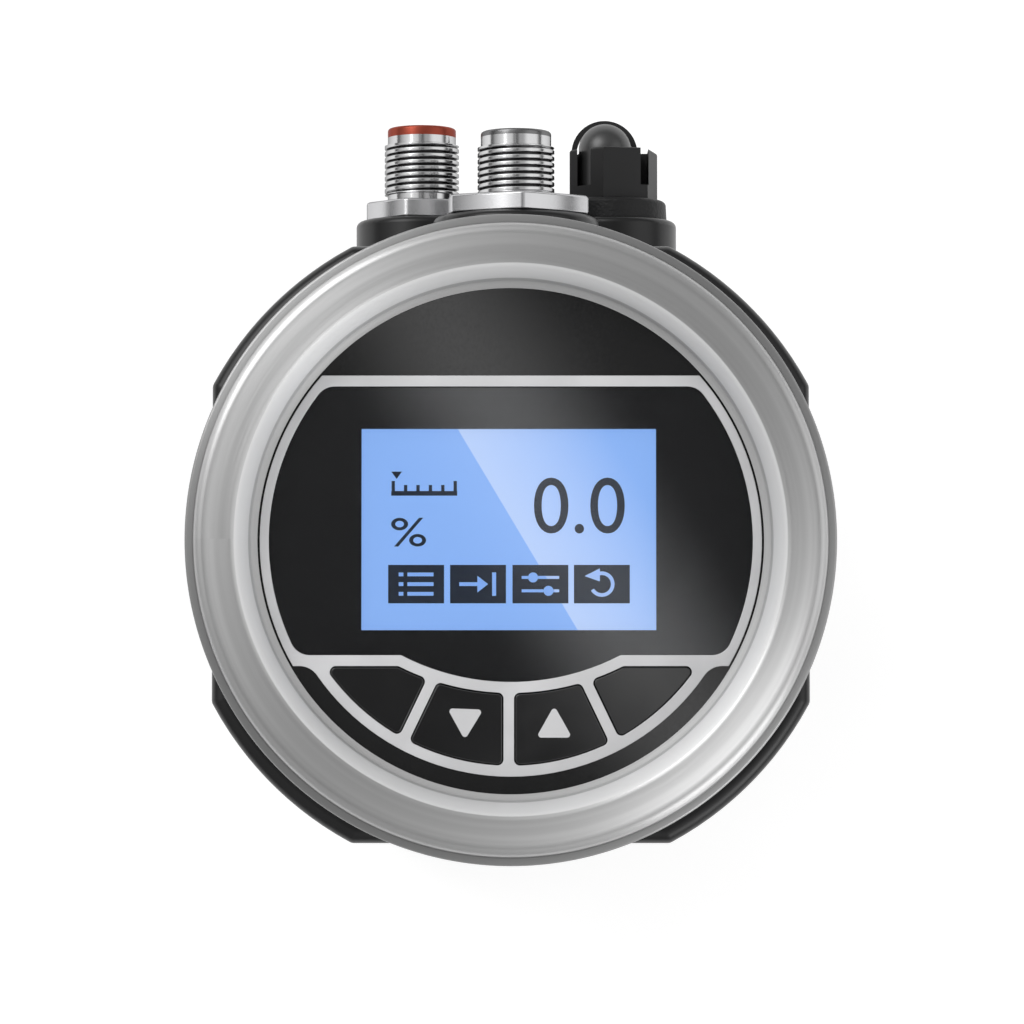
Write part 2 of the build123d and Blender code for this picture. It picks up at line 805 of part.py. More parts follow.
board_face = housing_half_width - housing_wall - rear_reach - main_board_gap
board_middle = board_face - board_thickness / 2
bracket_front = carriage_radius + sensor_gap + sensor_depth
block_screw_front = -block_face + block_screw_inset
block_screw_back = -block_face + block_depth - block_screw_inset
block_screw_places = [
    (x, y) for x in (-block_screw_spread, block_screw_spread) for y in (block_screw_front, block_screw_back)
]
bracket_screw_places = [(-5.0, 3.0 - bracket_front), (5.0, 3.0 - bracket_front)]
seal_inset = 1.0 + base_seal_width

with BuildSketch() as base_seal_shape:
    body_outline(housing_radius - 1, housing_half_width - 1)
    with BuildSketch(mode=Mode.SUBTRACT):
        body_outline(housing_radius - seal_inset, housing_half_width - seal_inset)

with BuildPart() as base_seal:
    with BuildSketch(Plane.XY.offset(housing_bottom - base_seal_thickness)):
        add(base_seal_shape.sketch)
    extrude(amount=base_seal_thickness)
pieces["base_seal"] = base_seal

with BuildPart() as base_plate:
    with BuildSketch(Plane.XY.offset(base_bottom)):
        body_outline(housing_radius, housing_half_width)
    extrude(amount=base_thickness)
    fillet(base_plate.edges().filter_by(Axis.Z), corner_blend)
    with BuildSketch(Plane.XY.offset(housing_bottom)):
        with Locations((board_holder_place, board_middle), (-board_holder_place, board_middle)):
            Rectangle(board_holder_width, board_thickness + 5)
    extrude(amount=board_holder_height)
    with BuildSketch(Plane.XY.offset(housing_bottom)):
        Circle(tower_radius)
    extrude(amount=bush_top - housing_bottom)
    with BuildSketch(Plane.XY.offset(base_bottom)):
        Circle(tower_bore_radius)
    extrude(amount=bush_top - base_bottom, mode=Mode.SUBTRACT)
    with BuildSketch(Plane.XY.offset(bush_top)):
        Circle(bush_radius + rear_fit)
    extrude(amount=-(bush_length + 2 * spindle_seal_wire), mode=Mode.SUBTRACT)
    with BuildSketch(Plane.XY.offset(housing_bottom + 1)):
        with Locations((0, board_middle)):
            Rectangle(2 * main_board_half_width, board_thickness + 2 * board_slot_play)
    extrude(amount=board_holder_height, mode=Mode.SUBTRACT)
    with BuildSketch(Plane.XY.offset(housing_bottom)):
        add(base_seal_shape.sketch)
    extrude(amount=-base_seal_thickness, mode=Mode.SUBTRACT)
    with BuildSketch(Plane.XY.offset(base_bottom)):
        with PolarLocations(post_reach, 4, start_angle=45):
            Circle(m4_radius + screw_fit)
        with PolarLocations(adapter_screw_circle, 3, start_angle=30):
            Circle(m4_radius)
        with Locations(*block_screw_places):
            Circle(m3_radius)
        with Locations(*bracket_screw_places):
            Circle(m3_radius)
    extrude(amount=base_thickness, mode=Mode.SUBTRACT)
pieces["base_plate"] = base_plate

with BuildPart() as base_screws:
    with BuildSketch(Plane.XY.offset(base_bottom)):
        with PolarLocations(post_reach, 4, start_angle=45):
            Circle(m4_head_radius)
    extrude(amount=-m4_head_height)
    with BuildSketch(Plane.XY.offset(base_bottom)):
        with PolarLocations(post_reach, 4, start_angle=45):
            Circle(m4_radius)
    extrude(amount=post_height - base_thickness)
pieces["base_screws"] = base_screws

# Adapter with the actuator socket, its seal, screws and set screws

set_screw_up = socket_depth / 2 - 1.1
socket_seal_up = socket_depth - 1.8

with BuildPart() as adapter:
    with BuildSketch():
        Circle(adapter_radius)
    extrude(amount=adapter_height)
    with BuildSketch():
        Circle(socket_radius)
    extrude(amount=socket_depth, mode=Mode.SUBTRACT)
    chamfer(adapter.edges().group_by(Axis.Z)[0].sort_by(SortBy.RADIUS)[-1], adapter_chamfer)
    with BuildSketch():
        Circle(adapter_hole_radius)
    extrude(amount=adapter_height, mode=Mode.SUBTRACT)
    with BuildSketch(Plane.XY.offset(socket_seal_up - seal_wire)):
        Circle(socket_radius + 2 * seal_wire + inlay_fit)
    extrude(amount=2 * seal_wire, mode=Mode.SUBTRACT)
    with BuildSketch():
        with PolarLocations(adapter_screw_circle, 3, start_angle=30):
            Circle(m4_radius + screw_fit)
    extrude(amount=adapter_height, mode=Mode.SUBTRACT)
    with BuildSketch(Plane.XY.offset(socket_depth)):
        with PolarLocations(adapter_screw_circle, 3, start_angle=30):
            Circle(m4_head_radius + screw_fit)
    extrude(amount=m4_head_height, mode=Mode.SUBTRACT)
    for angle in (90, 210, 330):
        with BuildSketch(Plane.YZ.rotated((0, 0, angle)).offset(socket_radius - 1)):
            with Locations((0, set_screw_up)):
                Circle(set_screw_radius + inlay_fit)
        extrude(amount=adapter_radius, mode=Mode.SUBTRACT)
pieces["adapter"] = adapter

with BuildPart() as set_screws:
    for angle in (90, 210, 330):
        with BuildSketch(Plane.YZ.rotated((0, 0, angle)).offset(socket_radius + 0.5)):
            with Locations((0, set_screw_up)):
                Circle(set_screw_radius)
        extrude(amount=set_screw_length)
        with BuildSketch(Plane.YZ.rotated((0, 0, angle)).offset(socket_radius + 0.5 + set_screw_length)):
            with Locations((0, set_screw_up)):
                RegularPolygon(1.0, 6, major_radius=False)
        extrude(amount=-2.5, mode=Mode.SUBTRACT)
pieces["set_screws"] = set_screws

pieces["socket_seal"] = seal_ring(socket_radius + seal_wire + inlay_fit, seal_wire, Plane.XY.offset(socket_seal_up))

with BuildPart() as adapter_screws:
    with BuildSketch(Plane.XY.offset(socket_depth)):
        with PolarLocations(adapter_screw_circle, 3, start_angle=30):
            Circle(m4_head_radius)
    extrude(amount=m4_head_height)
    with BuildSketch(Plane.XY.offset(socket_depth)):
        with PolarLocations(adapter_screw_circle, 3, start_angle=30):
            Circle(m4_radius)
    extrude(amount=housing_bottom - socket_depth - 0.5)
    with BuildSketch(Plane.XY.offset(socket_depth)):
        with PolarLocations(adapter_screw_circle, 3, start_angle=30):
            RegularPolygon(1.5, 6, major_radius=False)
    extrude(amount=2, mode=Mode.SUBTRACT)
pieces["adapter_screws"] = adapter_screws

# Travel spindle, its bush and seal, the carriage with its magnet, and the sensor that reads it

with BuildPart() as spindle_bush:
    with BuildSketch(Plane.XY.offset(bush_top - bush_length)):
        Circle(bush_radius)
        Circle(spindle_radius + spindle_fit, mode=Mode.SUBTRACT)
    extrude(amount=bush_length)
pieces["spindle_bush"] = spindle_bush

pieces["spindle_seal"] = seal_ring(
    spindle_radius + spindle_fit + spindle_seal_wire,
    spindle_seal_wire,
    Plane.XY.offset(bush_top - bush_length - spindle_seal_wire),
)

with BuildPart() as travel_spindle:
    with BuildSketch(Plane.XY.offset(spindle_low_end)):
        Circle(spindle_radius)
    extrude(amount=spindle_length)
    chamfer(travel_spindle.edges().filter_by(GeomType.CIRCLE), 0.5)
    with BuildSketch(Plane.XY.offset(spindle_low_end)):
        Circle(stem_bore_radius)
    extrude(amount=stem_bore_depth, mode=Mode.SUBTRACT)
pieces["travel_spindle"] = travel_spindle

finger_end = carriage_radius + sensor_gap + finger_reach

with BuildPart() as travel_carriage:
    with BuildSketch(Plane.XY.offset(carriage_bottom)):
        Circle(carriage_radius)
        with Locations((0, -finger_end / 2)):
            Rectangle(finger_width, finger_end)
        Circle(spindle_radius, mode=Mode.SUBTRACT)
    extrude(amount=carriage_height)
    with BuildSketch(Plane.XY.offset(carriage_bottom + (carriage_height - magnet_height) / 2)):
        with Locations((0, -finger_end + magnet_reach / 2)):
            Rectangle(finger_width, magnet_reach)
    extrude(amount=magnet_height, mode=Mode.SUBTRACT)
pieces["travel_carriage"] = travel_carriage

with BuildPart() as sensor_magnet:
    with BuildSketch(Plane.XY.offset(carriage_bottom + (carriage_height - magnet_height) / 2)):
        with Locations((0, -finger_end + magnet_reach / 2)):
            Rectangle(finger_width, magnet_reach)
    extrude(amount=magnet_height)
pieces["sensor_magnet"] = sensor_magnet

with BuildPart() as travel_sensor:
    with BuildSketch(Plane.XY.offset(sensor_low_end)):
        with Locations((0, sensor_depth / 2 - bracket_front)):
            Rectangle(sensor_width, sensor_depth)
        with Locations((0, -carriage_radius - sensor_gap)):
            Rectangle(finger_width + 2 * finger_fit, 2 * (finger_reach + finger_fit), mode=Mode.SUBTRACT)
    extrude(amount=board_bottom - sensor_top_gap - sensor_low_end)
    fillet(travel_sensor.edges().filter_by(Axis.Z).group_by(Axis.Y)[0], 0.8)
pieces["travel_sensor"] = travel_sensor

with BuildPart() as sensor_bracket:
    with BuildSketch(Plane.XY.offset(housing_bottom)):
        with Locations((0, -bracket_front - bracket_thickness / 2)):
            Rectangle(2 * bracket_half_width, bracket_thickness)
    extrude(amount=board_bottom - sensor_top_gap - 2 - housing_bottom)
    with BuildSketch(Plane.XY.offset(housing_bottom)):
        with Locations((0, 3 - bracket_front - bracket_thickness / 2)):
            Rectangle(2 * bracket_half_width, 6 + bracket_thickness)
    extrude(amount=bracket_thickness)
    with BuildSketch(Plane.XY.offset(housing_bottom)):
        with Locations(*bracket_screw_places):
            Circle(m3_radius + screw_fit)
    extrude(amount=bracket_thickness, mode=Mode.SUBTRACT)
pieces["sensor_bracket"] = sensor_bracket

with BuildPart() as bracket_screws:
    with BuildSketch(Plane.XY.offset(housing_bottom + bracket_thickness)):
        with Locations(*bracket_screw_places):
            Circle(m3_head_radius)
    extrude(amount=m3_head_height)
    with BuildSketch(Plane.XY.offset(housing_bottom + bracket_thickness)):
        with Locations(*bracket_screw_places):
            Circle(m3_radius)
    extrude(amount=-(bracket_thickness + base_thickness - 0.5))
pieces["bracket_screws"] = bracket_screws

# Pneumatic block with its screws and the two pilot valves on top

block_centre = -block_face + block_depth / 2
block_top = housing_bottom + block_height

with BuildPart() as pneumatic_block:
    with BuildSketch(Plane.XY.offset(housing_bottom)):
        with Locations((0, block_centre)):
            Rectangle(2 * block_half_width, block_depth)
    extrude(amount=block_height)
    chamfer(pneumatic_block.edges().filter_by(Axis.Z), 1.0)
    with BuildSketch(Plane.XZ.offset(block_face)):
        with Locations((-air_port_spread, low_row), (air_port_spread, low_row)):
            Circle(block_port_radius)
    extrude(amount=-block_depth / 2, mode=Mode.SUBTRACT)
    with BuildSketch(Plane.XZ.offset(block_face)):
        with Locations((-air_port_spread, low_row), (air_port_spread, low_row)):
            Circle(air_bush_radius)
            Circle(air_bush_radius - 2 * seal_wire, mode=Mode.SUBTRACT)
    extrude(amount=-2 * seal_wire, mode=Mode.SUBTRACT)
    with BuildSketch(Plane.XY.offset(housing_bottom)):
        with Locations(*block_screw_places):
            Circle(m3_radius + screw_fit)
    extrude(amount=block_height, mode=Mode.SUBTRACT)
pieces["pneumatic_block"] = pneumatic_block

with BuildPart() as block_screws:
    with BuildSketch(Plane.XY.offset(block_top)):
        with Locations(*block_screw_places):
            Circle(m3_head_radius)
    extrude(amount=m3_head_height)
    with BuildSketch(Plane.XY.offset(base_bottom + 0.5)):
        with Locations(*block_screw_places):
            Circle(m3_radius)
    extrude(amount=block_top - base_bottom - 0.5)
pieces["block_screws"] = block_screws

for name, x in (("fill_valve", -valve_spread), ("vent_valve", valve_spread)):
    with BuildPart() as valve:
        with BuildSketch(Plane.XY.offset(block_top)):
            with Locations((x, block_centre)):
                Rectangle(valve_width, valve_depth)
        extrude(amount=valve_height)
        with BuildSketch(Plane.XY.offset(block_top + valve_height)):
            with Locations((x, block_centre)):
                Circle(coil_radius)
        extrude(amount=coil_height)
        fillet(valve.edges().filter_by(Axis.Z), 0.6)
    pieces[name] = valve

# Main board in its holders and the header that joins it to the display board

with BuildPart() as main_board:
    with BuildSketch(Plane.XY.offset(housing_bottom + 1)):
        with Locations((0, board_middle)):
            Rectangle(2 * main_board_half_width - 0.4, board_thickness)
    extrude(amount=cavity_top - housing_bottom - 2)
pieces["main_board"] = main_board

with BuildPart() as board_header:
    with BuildSketch(Plane.XY.offset(cavity_top - 1 - header_overlap)):
        with Locations((0, board_middle - board_thickness / 2 - header_depth / 2)):
            Rectangle(2 * header_half_width, header_depth)
    extrude(amount=board_bottom - cavity_top + 1 + header_overlap)
pieces["board_header"] = board_header

os.makedirs("parts", exist_ok=True)
for label, piece in pieces.items():
    piece.part.label = label
    export_step(piece.part, f"parts/{label}.step")
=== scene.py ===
"""A top mounted valve positioner, dressed for a studio picture.

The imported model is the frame. Each class below builds or dresses one sub-assembly: the bezel ring, the front
panel with its display and keys, the plug connectors, the relief valve, the air ports, the housing and base, and
what is inside. Sizes are millimetres in the dataclass fields and metres in the meshes.
"""

from __future__ import annotations

import json
import logging
import math
from dataclasses import dataclass, field
from enum import Enum
from typing import Callable, Iterable, Sequence

import bpy
from mathutils import Matrix, Vector


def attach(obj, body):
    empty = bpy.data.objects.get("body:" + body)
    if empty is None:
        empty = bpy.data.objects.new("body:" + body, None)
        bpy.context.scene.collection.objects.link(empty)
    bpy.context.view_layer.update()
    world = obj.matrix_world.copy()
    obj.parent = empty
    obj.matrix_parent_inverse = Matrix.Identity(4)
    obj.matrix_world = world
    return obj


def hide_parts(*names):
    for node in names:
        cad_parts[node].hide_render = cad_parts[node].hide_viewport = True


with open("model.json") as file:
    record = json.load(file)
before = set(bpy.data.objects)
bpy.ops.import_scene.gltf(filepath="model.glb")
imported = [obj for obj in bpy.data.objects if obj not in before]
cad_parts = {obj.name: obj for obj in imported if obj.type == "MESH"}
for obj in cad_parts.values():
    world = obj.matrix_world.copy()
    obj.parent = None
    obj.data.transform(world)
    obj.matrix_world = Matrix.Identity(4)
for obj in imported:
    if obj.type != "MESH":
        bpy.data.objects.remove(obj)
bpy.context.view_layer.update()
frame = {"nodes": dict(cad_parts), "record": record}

LOG = logging.getLogger("positioner")
MM = 0.001

Point = tuple[float, float]


class Axis(Enum):
    """The row axis that a turned piece is turned about."""

    Y = (0.0, 1.0, 0.0)
    Z = (0.0, 0.0, 1.0)


class Body(Enum):
    """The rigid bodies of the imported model, by the names in its record."""

    POSITIONER = "positioner"
    BEZEL = "bezel"
    LEFT_KEY = "left_key"
    DOWN_KEY = "down_key"
    UP_KEY = "up_key"
    RIGHT_KEY = "right_key"
    SPINDLE = "spindle"
    POPPET = "poppet"


# Node trees


class Graph:
    """A small helper that adds and joins shader nodes in one material."""

    def __init__(self, name: str) -> None:
        """Starts a material with an empty node tree.

        Args:
            name: The material's name.
        """
        self.material = bpy.data.materials.new(name)
        self.material.use_nodes = True
        self.tree = self.material.node_tree
        self.tree.nodes.clear()
        self.output = self.tree.nodes.new("ShaderNodeOutputMaterial")

    def node(self, kind: str, **settings: object) -> bpy.types.Node:
        """Adds a node and sets its properties.

        Args:
            kind: The node's Blender type name.
            **settings: Properties of the node, by name.

        Returns:
            The new node.
        """
        made = self.tree.nodes.new(kind)
        for key, value in settings.items():
            setattr(made, key, value)
        return made

    def join(self, source: bpy.types.NodeSocket, target: bpy.types.NodeSocket) -> None:
        """Links one socket to another."""
        self.tree.links.new(source, target)

    def maths(self, operation: str, first: object, second: object = 0.0) -> bpy.types.NodeSocket:
        """Adds a Math node.

        Args:
            operation: The Math node's operation.
            first: A socket or a number.
            second: A socket or a number.

        Returns:
            The node's value socket.
        """
        made = self.node("ShaderNodeMath", operation=operation)
        for socket, value in zip(made.inputs, (first, second)):
            if isinstance(value, bpy.types.NodeSocket):
                self.join(value, socket)
            else:
                socket.default_value = value
        return made.outputs[0]

    def place(self) -> bpy.types.NodeSocket:
        """Returns the object coordinates."""
        return self.node("ShaderNodeTexCoord").outputs["Object"]

    def noise(self, vector: bpy.types.NodeSocket, scale: float, detail: float = 4.0) -> bpy.types.NodeSocket:
        """Adds a noise texture.

        Args:
            vector: Where the texture is read.
            scale: Its scale, in cells to the metre.
            detail: Its octaves.

        Returns:
            The noise value socket.
        """
        made = self.node("ShaderNodeTexNoise")
        made.inputs["Scale"].default_value = scale
        made.inputs["Detail"].default_value = detail
        self.join(vector, made.inputs["Vector"])
        return made.outputs["Fac"]

    def ramp(self, value: bpy.types.NodeSocket, low: Sequence[float], high: Sequence[float],
             start: float = 0.3, end: float = 0.7) -> bpy.types.NodeSocket:
        """Turns a value into a colour between two colours.

        Args:
            value: The value that is read.
            low: The colour at the start.
            high: The colour at the end.
            start: The value of the first colour.
            end: The value of the second colour.

        Returns:
            The colour socket.
        """
        made = self.node("ShaderNodeValToRGB")
        made.color_ramp.elements[0].position = start
        made.color_ramp.elements[1].position = end
        made.color_ramp.elements[0].color = (*low, 1.0)
        made.color_ramp.elements[1].color = (*high, 1.0)
        self.join(value, made.inputs["Fac"])
        return made.outputs["Color"]

    def step(self, value: bpy.types.NodeSocket, edge: float, softness: float) -> bpy.types.NodeSocket:
        """Turns a value into 0 below an edge and 1 above it.

        Args:
            value: The value that is read.
            edge: Where the step is.
            softness: How wide the step is.

        Returns:
            The stepped value socket.
        """
        made = self.node("ShaderNodeMapRange", interpolation_type="SMOOTHSTEP")
        made.inputs["From Min"].default_value = edge - softness / 2
        made.inputs["From Max"].default_value = edge + softness / 2
        self.join(value, made.inputs["Value"])
        return made.outputs["Result"]

    def blend(self, share: bpy.types.NodeSocket, under: bpy.types.NodeSocket,
              over: Sequence[float]) -> bpy.types.NodeSocket:
        """Lays a colour over another by a share.

        Args:
            share: How much of the colour lies over the other, from 0 to 1.
            under: The other colour.
            over: The colour.

        Returns:
            The blended colour socket.
        """
        made = self.node("ShaderNodeMix", data_type="RGBA")
        colours = [socket for socket in made.inputs if socket.type == "RGBA"]
        self.join(share, made.inputs["Factor"])
        self.join(under, colours[0])
        colours[1].default_value = (*over, 1.0)
        return [socket for socket in made.outputs if socket.type == "RGBA"][0]

    def span(self, value: bpy.types.NodeSocket, low: float, high: float) -> bpy.types.NodeSocket:
        """Maps a value from 0.3..0.7 onto a range.

        Args:
            value: The value that is read.
            low: The result at 0.3.
            high: The result at 0.7.

        Returns:
            The mapped value socket.
        """
        made = self.node("ShaderNodeMapRange")
        made.inputs["From Min"].default_value = 0.3
        made.inputs["From Max"].default_value = 0.7
        made.inputs["To Min"].default_value = low
        made.inputs["To Max"].default_value = high
        self.join(value, made.inputs["Value"])
        return made.outputs["Result"]

    def bump(self, height: bpy.types.NodeSocket, strength: float, distance: float,
             under: bpy.types.NodeSocket | None = None) -> bpy.types.NodeSocket:
        """Adds a bump node.

        Args:
            height: The height that is read.
            strength: The bump's strength.
            distance: Its depth in metres.
            under: Another bump's normal to lie on.

        Returns:
            The normal socket.
        """
        made = self.node("ShaderNodeBump")
        made.inputs["Strength"].default_value = strength
        made.inputs["Distance"].default_value = distance
        self.join(height, made.inputs["Height"])
        if under is not None:
            self.join(under, made.inputs["Normal"])
        return made.outputs["Normal"]

    def surface(self, **inputs: object) -> bpy.types.Node:
        """Adds the shader and joins it to the output.

        Args:
            **inputs: Values or sockets by input name, with underscores for spaces.

        Returns:
            The shader node.
        """
        shader = self.node("ShaderNodeBsdfPrincipled")
        for key, value in inputs.items():
            socket = shader.inputs[key.replace("_", " ")]
            if isinstance(value, bpy.types.NodeSocket):
                self.join(value, socket)
            elif isinstance(value, tuple) and len(value) == 3:
                socket.default_value = (*value, 1.0)
            else:
                socket.default_value = value
        self.join(shader.outputs[0], self.output.inputs["Surface"])
        return shader


# Finishes


@dataclass(frozen=True)
class Moulded:
    """Moulded plastic or rubber with a fine matt grain."""

    name: str
    colour: tuple[float, float, float]
    roughness: float = 0.45
    grain: float = 4500.0
    depth: float = 0.00002
    strength: float = 0.25
    specular: float = 0.5

    def build(self) -> bpy.types.Material:
        """Returns the finished material."""
        graph = Graph(self.name)
        place = graph.place()
        mottled = graph.noise(place, 55.0, 3.0)
        grain = graph.noise(place, self.grain, 2.0)
        dark = tuple(channel * 0.82 for channel in self.colour)
        light = tuple(min(1.0, channel * 1.18) for channel in self.colour)
        graph.surface(
            Base_Color=graph.ramp(mottled, dark, light),
            Roughness=graph.span(mottled, self.roughness - 0.04, self.roughness + 0.05),
            Specular_IOR_Level=self.specular,
            Normal=graph.bump(grain, self.strength, self.depth),
        )
        return graph.material


@dataclass(frozen=True)
class Turned:
    """Metal turned on a lathe, with fine rings round one axis through a given point."""

    name: str
    colour: tuple[float, float, float]
    roughness: float = 0.22
    axis: Axis = Axis.Y
    centre: tuple[float, float, float] = (0.0, 0.0, 0.0)
    anisotropy: float = 0.35
    depth: float = 0.000006
    metallic: float = 1.0
    edge: tuple[float, float, float] = (0.6, 0.6, 0.6)

    def build(self) -> bpy.types.Material:
        """Returns the finished material."""
        graph = Graph(self.name)
        moved = graph.node("ShaderNodeMapping")
        moved.inputs["Location"].default_value = tuple(-part * MM for part in self.centre)
        graph.join(graph.place(), moved.inputs["Vector"])
        parts = graph.node("ShaderNodeSeparateXYZ")
        graph.join(moved.outputs[0], parts.inputs[0])
        across = parts.outputs["Z" if self.axis is Axis.Y else "Y"]
        along = parts.outputs["Y" if self.axis is Axis.Y else "Z"]
        squares = graph.maths("ADD", graph.maths("MULTIPLY", parts.outputs["X"], parts.outputs["X"]),
                              graph.maths("MULTIPLY", across, across))
        radius = graph.maths("SQRT", squares)
        rings = graph.node("ShaderNodeCombineXYZ")
        graph.join(radius, rings.inputs["X"])
        graph.join(along, rings.inputs["Y"])
        fine = graph.noise(rings.outputs[0], 9000.0, 2.0)
        broad = graph.noise(rings.outputs[0], 900.0, 2.0)
        dark = tuple(channel * 0.9 for channel in self.colour)
        light = tuple(min(1.0, channel * 1.08) for channel in self.colour)
        graph.surface(
            Base_Color=graph.ramp(broad, dark, light),
            Metallic=self.metallic,
            Roughness=graph.span(fine, self.roughness - 0.03, self.roughness + 0.04),
            Anisotropic=self.anisotropy,
            Specular_Tint=self.edge,
            Normal=graph.bump(fine, 0.3, self.depth),
        )
        return graph.material


@dataclass(frozen=True)
class Threaded:
    """Polished metal with painted shade in the grooves of a thread along Y."""

    name: str
    colour: tuple[float, float, float]
    centre: tuple[float, float, float]
    # groove is the colour of the painted shade laid in the thread's grooves; the radius and edge below mark where it
    # lies
    groove: tuple[float, float, float] = (0.07, 0.07, 0.072)
    groove_shade_radius: float = 5.72
    groove_shade_edge: float = 0.3
    edge: tuple[float, float, float] = (0.45, 0.45, 0.45)
    thread: Point = (0.0, 0.0)
    roughness: float = 0.14

    def build(self) -> bpy.types.Material:
        """Returns the finished material."""
        graph = Graph(self.name)
        moved = graph.node("ShaderNodeMapping")
        moved.inputs["Location"].default_value = tuple(-part * MM for part in self.centre)
        graph.join(graph.place(), moved.inputs["Vector"])
        parts = graph.node("ShaderNodeSeparateXYZ")
        graph.join(moved.outputs[0], parts.inputs[0])
        squares = graph.maths("ADD", graph.maths("MULTIPLY", parts.outputs["X"], parts.outputs["X"]),
                              graph.maths("MULTIPLY", parts.outputs["Z"], parts.outputs["Z"]))
        # painted shade: darker colour inside the groove radius, between the thread's two ends
        painted_groove_shade = graph.maths("SUBTRACT", 1.0, graph.step(graph.maths("SQRT", squares), self.groove_shade_radius * MM,
                                                       self.groove_shade_edge * MM))
        low, high = (edge * MM for edge in self.thread)
        above = graph.step(parts.outputs["Y"], low, 0.0001)
        below = graph.maths("SUBTRACT", 1.0, graph.step(parts.outputs["Y"], high, 0.0001))
        painted_groove_shade = graph.maths("MULTIPLY", painted_groove_shade, graph.maths("MULTIPLY", above, below))
        mottled = graph.noise(graph.place(), 160.0, 2.0)
        steel = graph.ramp(mottled, tuple(channel * 0.97 for channel in self.colour), self.colour)
        graph.surface(
            Base_Color=graph.blend(painted_groove_shade, steel, self.groove),
            Specular_Tint=self.edge,
            Metallic=1.0,
            Roughness=graph.span(mottled, self.roughness, self.roughness + 0.02),
        )
        return graph.material


@dataclass(frozen=True)
class CircularBrushed:
    """Stainless steel brushed in circles round the travel axis, with painted shade on its outer rim band and its lip,
    and a satin inner slope under a lighter painted highlight.
    """

    name: str = "brushed_stainless"
    face: tuple[float, float, float] = (0.56, 0.56, 0.56)
    # rim and lip are darker greys than the face and slope: painted shade on the outer band and in the step down to the
    # glass
    rim: tuple[float, float, float] = (0.36, 0.36, 0.36)
    # slope is lighter than the face: a painted highlight over the slope's real satin finish
    slope: tuple[float, float, float] = (0.78, 0.78, 0.78)
    lip: tuple[float, float, float] = (0.52, 0.52, 0.52)
    roughness: float = 0.36
    anisotropy: float = 0.8
    rim_start: float = 46.62
    slope_end: float = 40.7
    lip_end: float = 38.75
    slope_metal: float = 0.35

    def build(self) -> bpy.types.Material:
        """Returns the finished material."""
        graph = Graph(self.name)
        parts = graph.node("ShaderNodeSeparateXYZ")
        graph.join(graph.place(), parts.inputs[0])
        squares = graph.maths("ADD", graph.maths("MULTIPLY", parts.outputs["X"], parts.outputs["X"]),
                              graph.maths("MULTIPLY", parts.outputs["Y"], parts.outputs["Y"]))
        radius = graph.maths("SQRT", squares)
        turn = graph.maths("ARCTAN2", parts.outputs["Y"], parts.outputs["X"])
        rings = graph.node("ShaderNodeCombineXYZ")
        graph.join(radius, rings.inputs["X"])
        graph.join(graph.maths("MULTIPLY", turn, 0.0004), rings.inputs["Y"])
        graph.join(parts.outputs["Z"], rings.inputs["Z"])
        fine = graph.noise(rings.outputs[0], 6000.0, 3.0)
        broad = graph.noise(rings.outputs[0], 650.0, 3.0)
        tangent = graph.node("ShaderNodeTangent", direction_type="RADIAL", axis="Z")
        dark = tuple(channel * 0.90 for channel in self.face)
        light = tuple(min(1.0, channel * 1.08) for channel in self.face)
        steel = graph.ramp(broad, dark, light)
        # painted shade: the outer rim band takes the darker rim grey
        rim_painted_shade = graph.step(radius, self.rim_start * MM, 0.00008)
        # on the slope: a real satin finish (less metallic, rougher) under a lighter painted highlight colour
        slope_satin_and_painted_highlight = graph.maths("SUBTRACT", 1.0, graph.step(radius, self.slope_end * MM, 0.0002))
        steel = graph.blend(rim_painted_shade, steel, self.rim)
        steel = graph.blend(slope_satin_and_painted_highlight, steel, self.slope)
        # painted shade: the lip takes a darker grey than the slope above it
        lip_painted_shade = graph.maths("SUBTRACT", 1.0, graph.step(radius, self.lip_end * MM, 0.0001))
        steel = graph.blend(lip_painted_shade, steel, self.lip)
        streaks = graph.span(fine, self.roughness - 0.03, self.roughness + 0.05)
        graph.surface(
            Base_Color=steel,
            Metallic=graph.maths("SUBTRACT", 1.0, graph.maths("MULTIPLY", slope_satin_and_painted_highlight, 1.0 - self.slope_metal)),
            Roughness=graph.maths("ADD", streaks, graph.maths("MULTIPLY", slope_satin_and_painted_highlight, 0.16)),
            Anisotropic=self.anisotropy,
            Anisotropic_Rotation=0.25,
            Tangent=tangent.outputs[0],
            Normal=graph.bump(fine, 0.2, 0.000005),
        )
        return graph.material


@dataclass(frozen=True)
class Gloss:
    """A smooth gloss surface, such as a printed panel or a lacquered ring."""

    name: str
    colour: tuple[float, float, float]
    roughness: float = 0.16
    metallic: float = 0.0
    coat: float = 0.0
    mottle: float = 0.06
    specular: float = 0.5
    edge: tuple[float, float, float] = (1.0, 1.0, 1.0)

    def build(self) -> bpy.types.Material:
        """Returns the finished material."""
        graph = Graph(self.name)
        place = graph.place()
        soft = graph.noise(place, 120.0, 2.0)
        fine = graph.noise(place, 2600.0, 2.0)
        dark = tuple(channel * (1 - self.mottle) for channel in self.colour)
        light = tuple(min(1.0, channel * (1 + self.mottle)) for channel in self.colour)
        graph.surface(
            Base_Color=graph.ramp(soft, dark, light),
            Metallic=self.metallic,
            Roughness=graph.span(fine, self.roughness - 0.02, self.roughness + 0.03),
            Specular_IOR_Level=self.specular,
            Specular_Tint=self.edge,
            Coat_Weight=self.coat,
            Coat_Roughness=0.08,
            Normal=graph.bump(fine, 0.04, 0.000001),
        )
        return graph.material


@dataclass(frozen=True)
class Glass:
    """Clear window glass."""

    name: str = "display_glass"

    def build(self) -> bpy.types.Material:
        """Returns the finished material."""
        graph = Graph(self.name)
        haze = graph.noise(graph.place(), 40.0, 2.0)
        graph.surface(
            Base_Color=(0.97, 0.98, 1.0),
            Roughness=graph.span(haze, 0.0, 0.012),
            Transmission_Weight=1.0,
            IOR=1.45,
        )
        return graph.material


